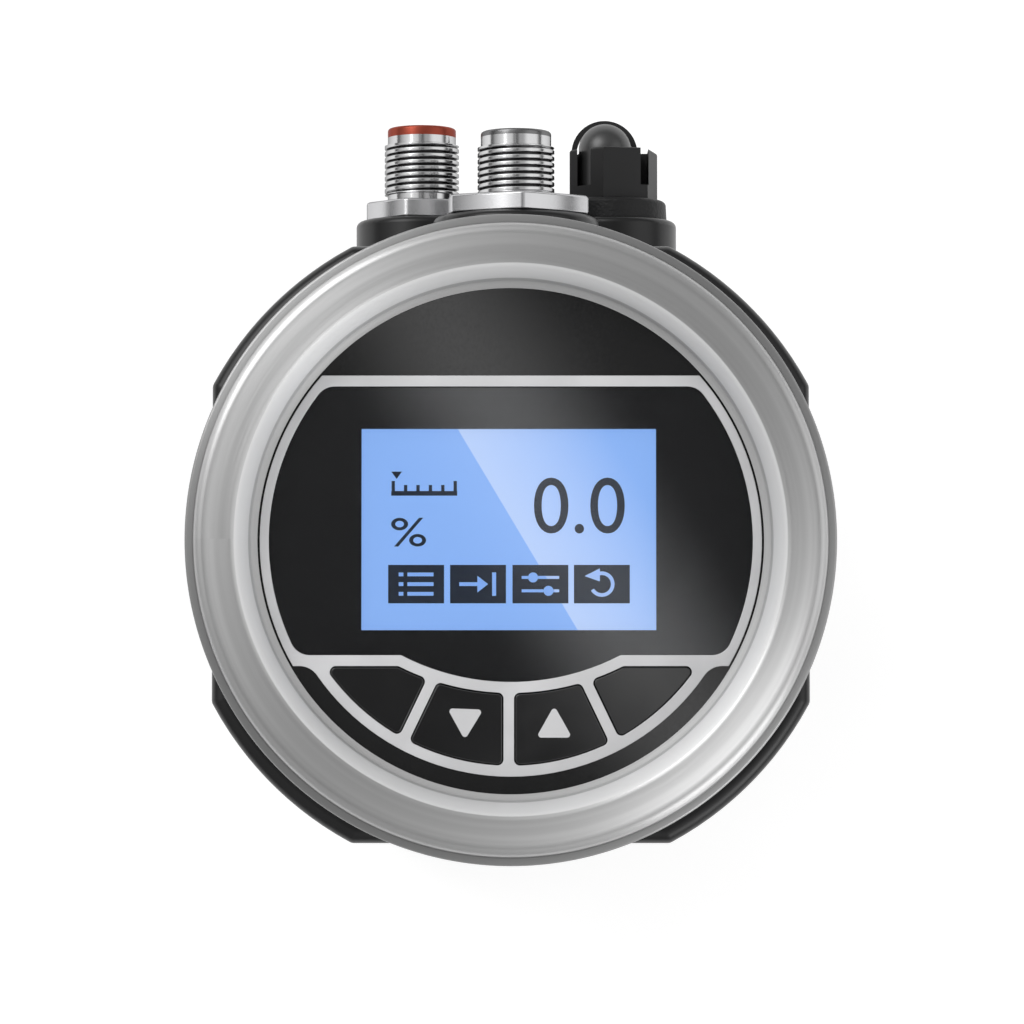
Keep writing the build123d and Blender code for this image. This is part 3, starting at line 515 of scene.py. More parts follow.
@dataclass(frozen=True)
class Backlit:
    """A display layer that glows, with a painted reflection: a lighter glare wedge on one side of a slanting line."""

    name: str
    colour: tuple[float, float, float]
    glow: float
    # painted glare: its colour, a point on its edge, the edge's normal and how far it fades
    painted_glare: tuple[float, float, float] | None = None
    painted_glare_place: Point = (-7.87, 16.7)
    painted_glare_normal: Point = (0.859, 0.512)
    painted_glare_reach: float = 19.0

    def build(self) -> bpy.types.Material:
        """Returns the finished material."""
        graph = Graph(self.name)
        place = graph.place()
        cells = graph.node("ShaderNodeTexBrick")
        cells.offset = 0.0
        cells.inputs["Scale"].default_value = 1.0
        cells.inputs["Mortar Size"].default_value = 0.00002
        cells.inputs["Brick Width"].default_value = 0.0003
        cells.inputs["Row Height"].default_value = 0.0003
        cells.inputs["Color1"].default_value = (*self.colour, 1.0)
        cells.inputs["Color2"].default_value = (*self.colour, 1.0)
        cells.inputs["Mortar"].default_value = (*(channel * 0.96 for channel in self.colour), 1.0)
        graph.join(place, cells.inputs["Vector"])
        light = cells.outputs["Color"]
        # painted reflection: a lighter glare wedge blended into the glow beyond a slanting line, fading over its reach
        if self.painted_glare is not None:
            across = graph.node("ShaderNodeVectorMath", operation="DOT_PRODUCT")
            across.inputs[1].default_value = (*self.painted_glare_normal, 0.0)
            graph.join(place, across.inputs[0])
            edge = (self.painted_glare_place[0] * self.painted_glare_normal[0] + self.painted_glare_place[1] * self.painted_glare_normal[1]) * MM
            start = graph.step(across.outputs["Value"], edge, 0.00012)
            fade = graph.node("ShaderNodeMapRange")
            fade.inputs["From Min"].default_value = edge
            fade.inputs["From Max"].default_value = edge + self.painted_glare_reach * MM
            fade.inputs["To Min"].default_value = 1.0
            fade.inputs["To Max"].default_value = 0.0
            graph.join(across.outputs["Value"], fade.inputs["Value"])
            light = graph.blend(graph.maths("MULTIPLY", start, fade.outputs["Result"]), light, self.painted_glare)
        shader = graph.surface(
            Base_Color=tuple(channel * 0.2 for channel in self.colour),
            Roughness=0.5,
            Emission_Strength=self.glow,
        )
        graph.join(light, shader.inputs["Emission Color"])
        return graph.material


BLACK = (0.0060, 0.0060, 0.0064)
STEEL = (0.62, 0.62, 0.63)


@dataclass
class FinishCupboard:
    """Every finish of the positioner, made once and handed out by its slot's name."""

    made: dict[str, bpy.types.Material] = field(default_factory=dict)

    def recipes(self) -> dict[str, object]:
        """Returns the finish of each material slot of the record."""
        return {
            "black_plastic": Moulded("black_plastic", BLACK, 0.32, 3800.0, 0.00001, 0.15, 0.4),
            "black_textured": Moulded("black_textured", (0.009, 0.009, 0.0095), 0.5, 1900.0, 0.00012, 0.8, 0.3),
            "panel_gloss": Gloss("panel_gloss", (0.0130, 0.0130, 0.0133), 0.045, specular=1.0),
            "display_glass": Glass(),
            "silver_trim": Gloss("silver_trim", (0.70, 0.70, 0.71), 0.38, 0.35),
            "brushed_stainless": CircularBrushed(),
            "adapter_aluminium": Turned("adapter_aluminium", (0.55, 0.55, 0.56), 0.3, Axis.Z),
            "stainless": Turned("stainless", STEEL, 0.16, Axis.Z),
            "bronze": Turned("bronze", (0.55, 0.36, 0.18), 0.35, Axis.Z),
            "white_plastic": Moulded("white_plastic", (0.72, 0.72, 0.69), 0.5),
            "magnet": Gloss("magnet", (0.55, 0.55, 0.56), 0.2, 1.0),
            "sensor_case": Moulded("sensor_case", (0.03, 0.05, 0.12), 0.45),
            "sheet_steel": Gloss("sheet_steel", (0.55, 0.55, 0.56), 0.32, 1.0),
            "block_plastic": Moulded("block_plastic", (0.06, 0.06, 0.065), 0.5),
            "valve_case": Moulded("valve_case", (0.5, 0.5, 0.48), 0.45),
            "circuit_board": Gloss("circuit_board", (0.012, 0.13, 0.045), 0.3, 0.0, 0.3, 0.2),
            "header_plastic": Moulded("header_plastic", (0.02, 0.02, 0.02), 0.5),
            # lcd_blue and lcd_clear carry a painted glare wedge, the colour after their glow strength
            "lcd_blue": Backlit("lcd_blue", (0.245, 0.445, 0.885), 0.95, (0.50, 0.64, 0.93)),
            "key_rubber": Moulded("key_rubber", (0.0125, 0.0125, 0.013), 0.06, 5200.0, 0.0000005, 0.01, 1.0),
            "seal_rubber": Moulded("seal_rubber", (0.015, 0.015, 0.015), 0.55, 2600.0, 0.00003, 0.4, 0.35),
            "screw_steel": Gloss("screw_steel", (0.6, 0.6, 0.6), 0.25, 1.0),
            "connector_metal": Gloss("connector_metal", (0.6, 0.6, 0.61), 0.2, 1.0),
            "connector_metal_left": Threaded("connector_metal_left", (0.6, 0.6, 0.605), (-14.35, 0.0, 38.0), thread=(57.3, 65.3)),
            "connector_metal_middle": Threaded("connector_metal_middle", (0.6, 0.6, 0.605), (0.8, 0.0, 59.0), thread=(54.8, 62.2)),
            "nut_metal": Gloss("nut_metal", (0.58, 0.58, 0.59), 0.24, 1.0, mottle=0.02, edge=(0.5, 0.5, 0.5)),
            "dome_plastic": Moulded("dome_plastic", (0.016, 0.016, 0.0165), 0.36, 5200.0, 0.000005, 0.06, 0.9),
            "crown_plastic": Moulded("crown_plastic", (0.015, 0.015, 0.0155), 0.5, 3200.0, 0.00002, 0.25, 0.28),
            "red_ring": Gloss("red_ring", (0.30, 0.058, 0.036), 0.3, 0.6, edge=(0.5, 0.3, 0.25)),
            "dark_ring": Gloss("dark_ring", (0.17, 0.17, 0.172), 0.26, 1.0, edge=(0.5, 0.5, 0.5)),
            "insert_plastic": Moulded("insert_plastic", (0.015, 0.015, 0.015), 0.5),
            "pin_gold": Gloss("pin_gold", (0.86, 0.6, 0.25), 0.2, 1.0),
            "spring_steel": Gloss("spring_steel", (0.6, 0.6, 0.6), 0.25, 1.0),
            "nickel_brass_supply_port": Turned("nickel_brass_supply_port", (0.46, 0.44, 0.38), 0.24, Axis.Y, (-14.0, 0.0, 38.0)),
            "nickel_brass_exhaust_port": Turned("nickel_brass_exhaust_port", (0.46, 0.44, 0.38), 0.24, Axis.Y, (14.0, 0.0, 38.0)),
            "lcd_ink": Gloss("lcd_ink", (0.011, 0.022, 0.045), 0.4),
            "lcd_clear": Backlit("lcd_clear", (0.22, 0.41, 0.84), 0.93, (0.42, 0.56, 0.86)),
        }

    def take(self, slot: str) -> bpy.types.Material:
        """Returns the material of a slot, making it the first time.

        Args:
            slot: The slot's name.

        Returns:
            The material.
        """
        if slot not in self.made:
            self.made[slot] = self.recipes()[slot].build()
        return self.made[slot]


# Mesh tools


class Bench:
    """The modelling moves that the sub-assemblies share."""

    @staticmethod
    def clear() -> None:
        """Leaves edit mode and deselects everything."""
        if bpy.context.object and bpy.context.object.mode != "OBJECT":
            bpy.ops.object.mode_set(mode="OBJECT")
        bpy.ops.object.select_all(action="DESELECT")

    @staticmethod
    def edit(piece: bpy.types.Object, mode: str = "VERT") -> None:
        """Opens a piece in edit mode with everything selected."""
        Bench.clear()
        bpy.context.view_layer.objects.active = piece
        piece.select_set(True)
        bpy.ops.object.mode_set(mode="EDIT")
        bpy.ops.mesh.select_mode(type=mode)
        bpy.ops.mesh.select_all(action="SELECT")

    @staticmethod
    def settle(piece: bpy.types.Object) -> None:
        """Leaves edit mode and puts the piece's place into its mesh."""
        Bench.clear()
        bpy.context.view_layer.objects.active = piece
        piece.select_set(True)
        bpy.ops.object.transform_apply(location=True, rotation=True, scale=True)

    @staticmethod
    def select(piece: bpy.types.Object, vertex: Callable[[Vector], bool] | None = None,
               edge: Callable[[Vector, Vector], bool] | None = None,
               face: Callable[[bpy.types.MeshPolygon], bool] | None = None) -> None:
        """Selects parts of a mesh by their place, and leaves it in edit mode.

        Args:
            piece: The piece.
            vertex: Chooses vertices by their place.
            edge: Chooses edges by the places of their ends.
            face: Chooses faces.
        """
        Bench.edit(piece, "VERT" if vertex else "EDGE" if edge else "FACE")
        bpy.ops.mesh.select_all(action="DESELECT")
        bpy.ops.object.mode_set(mode="OBJECT")
        mesh = piece.data
        if vertex:
            for one in mesh.vertices:
                one.select = vertex(one.co)
        if edge:
            for one in mesh.edges:
                one.select = edge(mesh.vertices[one.vertices[0]].co, mesh.vertices[one.vertices[1]].co)
        if face:
            for one in mesh.polygons:
                one.select = face(one)
        bpy.ops.object.mode_set(mode="EDIT")

    @staticmethod
    def loop(name: str, points: Sequence[Vector], closed: bool = True) -> bpy.types.Object:
        """Adds a ring of vertices and moves them to the given places.

        Args:
            name: The new piece's name.
            points: The places, in metres, in order.
            closed: Whether the last point joins the first.

        Returns:
            The new piece, which has no faces yet.
        """
        Bench.clear()
        bpy.ops.mesh.primitive_circle_add(vertices=max(3, len(points)), radius=0.01, fill_type="NOTHING")
        piece = bpy.context.object
        piece.name = name
        piece.data.name = name
        for vertex, point in zip(piece.data.vertices, points):
            vertex.co = point
        if not closed:
            last = len(points) - 1
            Bench.edit(piece, "EDGE")
            bpy.ops.mesh.select_all(action="DESELECT")
            bpy.ops.object.mode_set(mode="OBJECT")
            for one in piece.data.edges:
                one.select = set(one.vertices) == {0, last}
            bpy.ops.object.mode_set(mode="EDIT")
            bpy.ops.mesh.delete(type="EDGE")
            bpy.ops.object.mode_set(mode="OBJECT")
        return piece

    @staticmethod
    def turn(name: str, profile: Sequence[Point], axis: Axis, centre: tuple[float, float, float],
             steps: int = 160, solid: bool = False, angle: float = math.tau,
             start: float = 0.0) -> bpy.types.Object:
        """Turns a profile about an axis.

        Args:
            name: The new piece's name.
            profile: Pairs of radius and height along the axis, in millimetres.
            axis: The axis.
            centre: A point on the axis, in millimetres.
            steps: How many steps the turn takes.
            solid: Whether the profile's two ends lie on the axis.
            angle: How far it turns.
            start: The angle that it starts from, about Z only.

        Returns:
            The new piece.
        """
        middle = Vector(centre) * MM
        points = []
        for radius, height in profile:
            if axis is Axis.Z:
                spot = Vector((radius * math.cos(start), radius * math.sin(start), height))
            else:
                spot = Vector((radius, height, 0.0))
            points.append(middle + spot * MM)
        piece = Bench.loop(name, points, closed=not solid)
        Bench.edit(piece)
        bpy.ops.mesh.spin(steps=steps, angle=angle, center=middle, axis=axis.value)
        bpy.ops.mesh.select_all(action="SELECT")
        bpy.ops.mesh.remove_doubles(threshold=0.000002)
        if angle < math.tau - 0.001:
            bpy.ops.mesh.select_all(action="DESELECT")
            bpy.ops.mesh.select_non_manifold()
            bpy.ops.mesh.edge_face_add()
            bpy.ops.mesh.select_all(action="SELECT")
        bpy.ops.mesh.normals_make_consistent(inside=False)
        Bench.settle(piece)
        return piece

    @staticmethod
    def plate(name: str, outline: Sequence[Point], low: float, high: float) -> bpy.types.Object:
        """Makes a flat plate from an outline in the plane of the panel.

        Args:
            name: The new piece's name.
            outline: The corners, in millimetres, in order.
            low: The height of its underside, in millimetres.
            high: The height of its top, in millimetres.

        Returns:
            The new piece.
        """
        piece = Bench.loop(name, [Vector((x, y, low)) * MM for x, y in outline])
        Bench.edit(piece)
        bpy.ops.mesh.edge_face_add()
        bpy.ops.mesh.extrude_region_move(TRANSFORM_OT_translate={"value": (0, 0, (high - low) * MM)})
        bpy.ops.mesh.select_all(action="SELECT")
        bpy.ops.mesh.normals_make_consistent(inside=False)
        Bench.settle(piece)
        return piece

    @staticmethod
    def bevel(piece: bpy.types.Object, width: float, segments: int = 3, angle: float = 30.0) -> None:
        """Rounds every edge sharper than an angle.

        Args:
            piece: The piece.
            width: The bevel's width in millimetres.
            segments: Its segments.
            angle: The angle in degrees.
        """
        Bench.clear()
        bpy.context.view_layer.objects.active = piece
        piece.select_set(True)
        rounding = piece.modifiers.new("rounding", "BEVEL")
        rounding.width = width * MM
        rounding.segments = segments
        rounding.limit_method = "ANGLE"
        rounding.angle_limit = math.radians(angle)
        rounding.harden_normals = True
        bpy.ops.object.modifier_apply(modifier=rounding.name)

    @staticmethod
    def smooth(piece: bpy.types.Object, angle: float = 32.0) -> None:
        """Shades a piece smooth except at edges sharper than an angle in degrees."""
        Bench.clear()
        bpy.context.view_layer.objects.active = piece
        piece.select_set(True)
        bpy.ops.object.shade_smooth_by_angle(angle=math.radians(angle))

    @staticmethod
    def merge(name: str, pieces: Sequence[bpy.types.Object]) -> bpy.types.Object:
        """Joins pieces into one.

        Args:
            name: The joined piece's name.
            pieces: The pieces.

        Returns:
            The joined piece.
        """
        Bench.clear()
        for piece in pieces:
            piece.select_set(True)
        bpy.context.view_layer.objects.active = pieces[0]
        bpy.ops.object.join()
        joined = bpy.context.object
        joined.name = name
        joined.data.name = name
        return joined

    @staticmethod
    def twin(piece: bpy.types.Object, name: str, move: Vector) -> bpy.types.Object:
        """Copies a piece with its own mesh.

        Args:
            piece: The piece that is copied.
            name: The copy's name.
            move: How far the copy is moved, in metres.

        Returns:
            The copy.
        """
        copy = piece.copy()
        copy.data = piece.data.copy()
        copy.name = name
        copy.data.name = name
        bpy.context.scene.collection.objects.link(copy)
        copy.data.transform(Matrix.Translation(move))
        return copy


@dataclass
class Workshop:
    """Hands out finishes and mounts finished pieces on their bodies."""

    finishes: FinishCupboard = field(default_factory=FinishCupboard)
    pieces: list[str] = field(default_factory=list)

    def slot_of(self, node: str) -> str:
        """Returns the material slot that the record gives a node."""
        for part in frame["record"]["subparts"]:
            if part["node"] == node:
                return part["material_slot"]
        raise KeyError(node)

    def fit(self, piece: bpy.types.Object, body: Body, slot: str, *nodes: str, finish: str = "") -> bpy.types.Object:
        """Gives a piece its finish and lets it ride on its body.

        Args:
            piece: The piece.
            body: The body that it rides on.
            slot: The record's slot that it takes its finish from.
            *nodes: The nodes that it stands for.
            finish: The finish, where it isn't the slot's own.

        Returns:
            The piece.
        """
        piece.data.materials.clear()
        piece.data.materials.append(self.finishes.take(finish or slot))
        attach(piece, body.value)
        if nodes:
            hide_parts(*nodes)
        self.pieces.append(piece.name)
        LOG.info("%s rides on %s%s", piece.name, body.value, " for " + ", ".join(nodes) if nodes else "")
        return piece

    def carry(self, node: str, body: Body = Body.POSITIONER, angle: float = 32.0, bevel: float = 0.0,
              finish: str = "") -> bpy.types.Object:
        """Stands in for a node with a merged, smooth copy of it.

        Args:
            node: The node.
            body: The body that it rides on.
            angle: The angle that stays sharp, in degrees.
            bevel: The width of a bevel on its sharp edges, in millimetres.
            finish: The finish, where it isn't the slot's own.

        Returns:
            The copy.
        """
        source = frame["nodes"][node]
        mesh = source.data.copy()
        piece = bpy.data.objects.new(node + "_finished", mesh)
        mesh.name = piece.name
        bpy.context.scene.collection.objects.link(piece)
        Bench.clear()
        bpy.context.view_layer.objects.active = piece
        piece.select_set(True)
        bpy.ops.mesh.customdata_custom_splitnormals_clear()
        Bench.edit(piece)
        bpy.ops.mesh.remove_doubles(threshold=0.000002)
        if bevel:
            bpy.ops.mesh.dissolve_limited(angle_limit=math.radians(0.2))
        Bench.settle(piece)
        Bench.smooth(piece, angle)
        if bevel:
            Bench.bevel(piece, bevel, 2, 50.0)
        return self.fit(piece, body, self.slot_of(node), node, finish=finish)

    def dress_node(self, node: str) -> None:
        """Gives a node its slot's finish and leaves its shape as it is."""
        piece = frame["nodes"][node]
        piece.data.materials.clear()
        piece.data.materials.append(self.finishes.take(self.slot_of(node)))
        LOG.info("%s keeps its shape", node)


def arc(centre: Point, radius: float, start: float, end: float, steps: int) -> list[Point]:
    """Lists points along an arc.

    Args:
        centre: The arc's centre.
        radius: Its radius.
        start: The angle of its first point in degrees.
        end: The angle of its last point in degrees.
        steps: How many steps it takes.

    Returns:
        The points, both ends among them.
    """
    angles = [math.radians(start + (end - start) * step / steps) for step in range(steps + 1)]
    return [(centre[0] + radius * math.cos(angle), centre[1] + radius * math.sin(angle)) for angle in angles]


def bow(start: Point, end: Point, sag: float, steps: int) -> list[Point]:
    """Lists points along a shallow bow between two points.

    Args:
        start: The first point.
        end: The last point.
        sag: How far the middle stands to the left of the straight line.
        steps: How many steps it takes.

    Returns:
        The points after the first, the last among them.
    """
    across = (end[0] - start[0], end[1] - start[1])
    length = math.hypot(*across)
    left = (-across[1] / length, across[0] / length)
    points = []
    for step in range(1, steps + 1):
        share = step / steps
        rise = 4 * sag * share * (1 - share)
        points.append((start[0] + across[0] * share + left[0] * rise, start[1] + across[1] * share + left[1] * rise))
    return points


# Sub-assemblies


@dataclass
class BezelRing:
    """The brushed steel ring that twists off its bayonet."""

    radius: float = 48.0
    bottom: float = 74.5
    top: float = 94.0
    band: float = 1.25
    band_drop: float = 1.6
    edge_round: float = 1.5
    face_width: float = 7.2
    face_drop: float = 0.7
    slope_width: float = 2.0
    slope_drop: float = 6.5
    lip_width: float = 1.15
    lip_drop: float = 1.0
    wall: float = 3.4
    lugs: int = 3
    lug_angle: float = 14.0
    lug_depth: float = 1.5
    lug_bottom: float = 79.5
    lug_height: float = 2.2
    steps: int = 288

    def profile(self) -> list[Point]:
        """Returns the ring's section as pairs of radius and height."""
        edge = self.radius - self.band
        face_end = (self.radius - self.face_width, self.top - self.face_drop)
        step = (face_end[0] - self.slope_width, face_end[1] - self.slope_drop)
        lip = (step[0] - self.lip_width, step[1] - self.lip_drop)
        bore = self.radius - self.wall
        points = [(bore, lip[1]), (bore, self.bottom + 0.4), (bore + 0.4, self.bottom)]
        points += [(self.radius - 0.4, self.bottom), (self.radius, self.bottom + 0.4)]
        points += [(self.radius, self.top - self.band_drop - 0.35)]
        points += arc((self.radius - 0.35, self.top - self.band_drop - 0.35), 0.35, 22, 90, 4)
        points += [(edge + 0.08, self.top - self.band_drop + 0.02)]
        points += arc((edge - self.edge_round, self.top - self.edge_round), self.edge_round, 4, 90, 9)
        points += bow(points[-1], face_end, self.face_drop / 5, 8)
        points += bow(face_end, step, -self.slope_drop / 6, 8)
        points += bow(step, lip, self.lip_width / 5, 5)
        return points

    def lug(self, number: int) -> bpy.types.Object:
        """Makes one bayonet lug.

        Args:
            number: Which lug it is.

        Returns:
            The lug.
        """
        bore = self.radius - self.wall
        middle = 360 / self.lugs * number
        half = self.lug_angle / 2
        outline = arc((0, 0), bore - self.lug_depth, middle - half, middle + half, 8)
        outline += arc((0, 0), bore + 0.5, middle + half, middle - half, 8)
        piece = Bench.plate(f"bezel_lug_{number}", outline, self.lug_bottom, self.lug_bottom + self.lug_height)
        Bench.bevel(piece, 0.15, 2)
        return piece

    def build(self, shop: Workshop) -> None:
        """Makes the ring with its lugs and lets it ride on its own body.

        Args:
            shop: Where finishes and bodies come from.
        """
        ring = Bench.turn("bezel_ring_turned", self.profile(), Axis.Z, (0, 0, 0), self.steps)
        whole = Bench.merge("bezel_ring_brushed", [ring] + [self.lug(number) for number in range(self.lugs)])
        Bench.smooth(whole, 28)
        shop.fit(whole, Body.BEZEL, "brushed_stainless", "bezel_ring")


@dataclass
class ThreadCutter:
    """Cuts a helical thread into the fine rows of a turned barrel along Y."""

    pitch: float
    depth: float
    low: float
    high: float
    centre: tuple[float, float, float]
    inside: bool = False
    root_share: float = 0.05
    crest_share: float = 0.27

    def tooth(self, share: float) -> float:
        """Returns how far the groove is cut at a share of the pitch, from 0 at the crest to 1 at the root."""
        away = abs((share + 0.5) % 1.0 - 0.5)
        slope = min(1.0, max(0.0, (away - self.root_share) / (self.crest_share - self.root_share)))
        return 1.0 - slope * slope * (3 - 2 * slope)

    def cut(self, piece: bpy.types.Object, nominal: float) -> None:
        """Moves the rows of the barrel onto the thread.

        Args:
            piece: The turned barrel.
            nominal: The radius of the rows that are threaded, in millimetres.
        """
        middle = Vector(self.centre) * MM
        sign = 1.0 if self.inside else -1.0
        for vertex in piece.data.vertices:
            offset = vertex.co - middle
            height = vertex.co.y / MM
            radius = math.hypot(offset.x, offset.z) / MM
            if not self.low < height < self.high or abs(radius - nominal) > 0.02:
                continue
            turn = math.atan2(offset.z, offset.x) / math.tau
            fade = min(1.0, (height - self.low) / (self.pitch * 0.6), (self.high - height) / (self.pitch * 0.6))
            groove = self.tooth(height / self.pitch + turn) * self.depth * fade
            if self.inside:
                groove = (1 - self.tooth(height / self.pitch + turn)) * self.depth * fade
            scale = (radius + sign * groove) / radius
            vertex.co.x = middle.x + offset.x * scale
            vertex.co.z = middle.z + offset.z * scale


@dataclass
class PlugConnector:
    """A threaded plug connector: shell, nut, colour ring, insert and pins."""

    name: str
    x: float
    z: float
    boss_top: float
    barrel: float
    lower_relief: float
    upper_relief: float
    ring_height: float
    pins: int
    ring_slot: str
    inside: float = 37.9
    nut_thickness: float = 3.0
    thread_radius: float = 6.0
    relief_radius: float = 5.5
    cavity_radius: float = 4.45
    rear_radius: float = 7.4
    pitch: float = 1.0
    depth: float = 0.5
    steps: int = 112
    rows_in_pitch: int = 16

    @property
    def nut_top(self) -> float:
        """Where the nut ends, along Y."""
        return self.boss_top + self.nut_thickness

    @property
    def rim(self) -> float:
        """Where the colour ring ends, along Y."""
        return self.nut_top + self.barrel

    def shell(self) -> bpy.types.Object:
        """Makes the chromed shell with its outside thread."""
        low = self.nut_top + self.lower_relief
        shoulder = self.rim - self.ring_height
        high = shoulder - self.upper_relief
        floor = self.nut_top + 1.0
        rows = int((high - low) / self.pitch * self.rows_in_pitch)
        thread = [(self.thread_radius, low + 0.02 + (high - low - 0.04) * row / rows) for row in range(rows + 1)]
        profile = [(self.cavity_radius - 1, self.inside), (self.rear_radius, self.inside)]
        profile += [(self.rear_radius, self.boss_top - 0.1), (self.relief_radius, self.boss_top)]
        profile += [(self.relief_radius, low - 0.1)] + thread + [(self.relief_radius, high + 0.1)]
        profile += [(self.relief_radius, shoulder), (self.cavity_radius, shoulder)]
        profile += [(self.cavity_radius, floor), (self.cavity_radius - 1, floor)]
        piece = Bench.turn(f"{self.name}_shell_threaded", profile, Axis.Y, (self.x, 0, self.z), self.steps)
        cutter = ThreadCutter(self.pitch, self.depth, low, high, (self.x, 0, self.z))
        cutter.cut(piece, self.thread_radius)
        Bench.smooth(piece, 64)
        return piece

    def colour_ring(self) -> bpy.types.Object:
        """Makes the ring at the mouth, with a rounded rim."""
        low = self.rim - self.ring_height
        outer = self.relief_radius
        profile = [(self.cavity_radius, low), (outer, low)]
        profile += arc((outer - 0.42, self.rim - 0.42), 0.42, 0, 90, 6)
        profile += arc((self.cavity_radius + 0.18, self.rim - 0.18), 0.18, 90, 180, 4)
        piece = Bench.turn(f"{self.name}_mouth_ring", profile, Axis.Y, (self.x, 0, self.z), self.steps)
        Bench.smooth(piece, 40)
        return piece

    def insert(self) -> bpy.types.Object:
        """Makes the insulating insert that the pins stand in."""
        floor = self.nut_top + 1.0
        wide = self.cavity_radius - 0.1
        narrow = self.cavity_radius - 1.1
        profile = [(0, self.inside), (narrow, self.inside), (narrow, floor), (wide, floor)]
        profile += [(wide, floor + 1.0), (wide - 0.2, floor + 1.2), (0, floor + 1.2)]
        piece = Bench.turn(f"{self.name}_insert_turned", profile, Axis.Y, (self.x, 0, self.z), 64, solid=True)
        Bench.smooth(piece, 35)
        return piece

    def build(self, shop: Workshop) -> None:
        """Makes the connector's pieces.

        Args:
            shop: Where finishes and bodies come from.
        """
        root = Body.POSITIONER
        shop.fit(self.shell(), root, "connector_metal", f"{self.name}_connector_shell",
                 finish=f"connector_metal_{self.name}")
        shop.fit(self.colour_ring(), root, self.ring_slot, f"{self.name}_connector_ring")
        shop.fit(self.insert(), root, "insert_plastic", f"{self.name}_connector_insert")
        shop.carry(f"{self.name}_connector_nut", bevel=0.48, finish="nut_metal")
        shop.dress_node(f"{self.name}_connector_pins")


@dataclass
class AirPort:
    """A threaded metal bush in the back wall."""

    name: str
    x: float
    z: float = 38.0
    wall: float = -45.4
    flange_height: float = 0.4
    flange_radius: float = 8.6
    flange_round: float = 0.25
    bush_radius: float = 7.0
    bore_radius: float = 4.283
    inside: float = 7.6
    pitch: float = 0.907
    depth: float = 0.56
    steps: int = 112
    rows_in_pitch: int = 12

    def build(self, shop: Workshop) -> None:
        """Turns the bush and cuts its inside thread.

        Args:
            shop: Where finishes and bodies come from.
        """
        face = self.wall - self.flange_height
        back = self.wall + self.inside
        rows = int((back - face - 1.0) / self.pitch * self.rows_in_pitch)
        low, high = face + 0.7, back - 0.2
        thread = [(self.bore_radius, low + (high - low) * row / rows) for row in range(rows + 1)]
        profile = [(self.bore_radius + 0.7, face)] + thread + [(self.bore_radius + 0.1, back)]
        profile += [(self.bush_radius, back), (self.bush_radius, self.wall), (self.flange_radius, self.wall)]
        profile += arc((self.flange_radius - self.flange_round, face + self.flange_round), self.flange_round, 0, -90, 4)
        piece = Bench.turn(f"{self.name}_threaded", profile, Axis.Y, (self.x, 0, self.z), self.steps)
        cutter = ThreadCutter(self.pitch, self.depth, low, high, (self.x, 0, self.z), inside=True)
        cutter.cut(piece, self.bore_radius)
        Bench.smooth(piece, 64)
        shop.fit(piece, Body.POSITIONER, "nickel_brass", self.name, finish=f"nickel_brass_{self.name}")


@dataclass
class ReliefValve:
    """The relief valve: dome, slotted crown with its hood, flange and spring."""

    dome_x: float = 15.15
    z: float = 38.0
    dome_radius: float = 4.2
    skirt: float = 57.8
    crown_top: float = 64.5

    def dome(self) -> bpy.types.Object:
        """Turns the domed poppet."""
        wide = self.dome_radius
        profile = [(0, self.skirt + 1.5), (wide - 0.9, self.skirt + 1.5), (wide - 0.9, self.skirt), (wide, self.skirt)]
        profile += arc((0, self.crown_top + 0.2), wide, 0, 90, 18)[:-1] + [(0, self.crown_top + 0.2 + wide)]
        piece = Bench.turn("relief_dome", profile, Axis.Y, (self.dome_x, 0, self.z), 72, solid=True)
        Bench.smooth(piece, 35)
        return piece

    def build(self, shop: Workshop) -> None:
        """Makes the dome and finishes the crown, flange and spring.

        Args:
            shop: Where finishes and bodies come from.
        """
        shop.fit(self.dome(), Body.POPPET, "black_plastic", "relief_poppet", finish="dome_plastic")
        shop.dress_node("relief_flange")
        shop.carry("relief_crown", bevel=0.14, finish="crown_plastic")
        shop.dress_node("relief_spring")


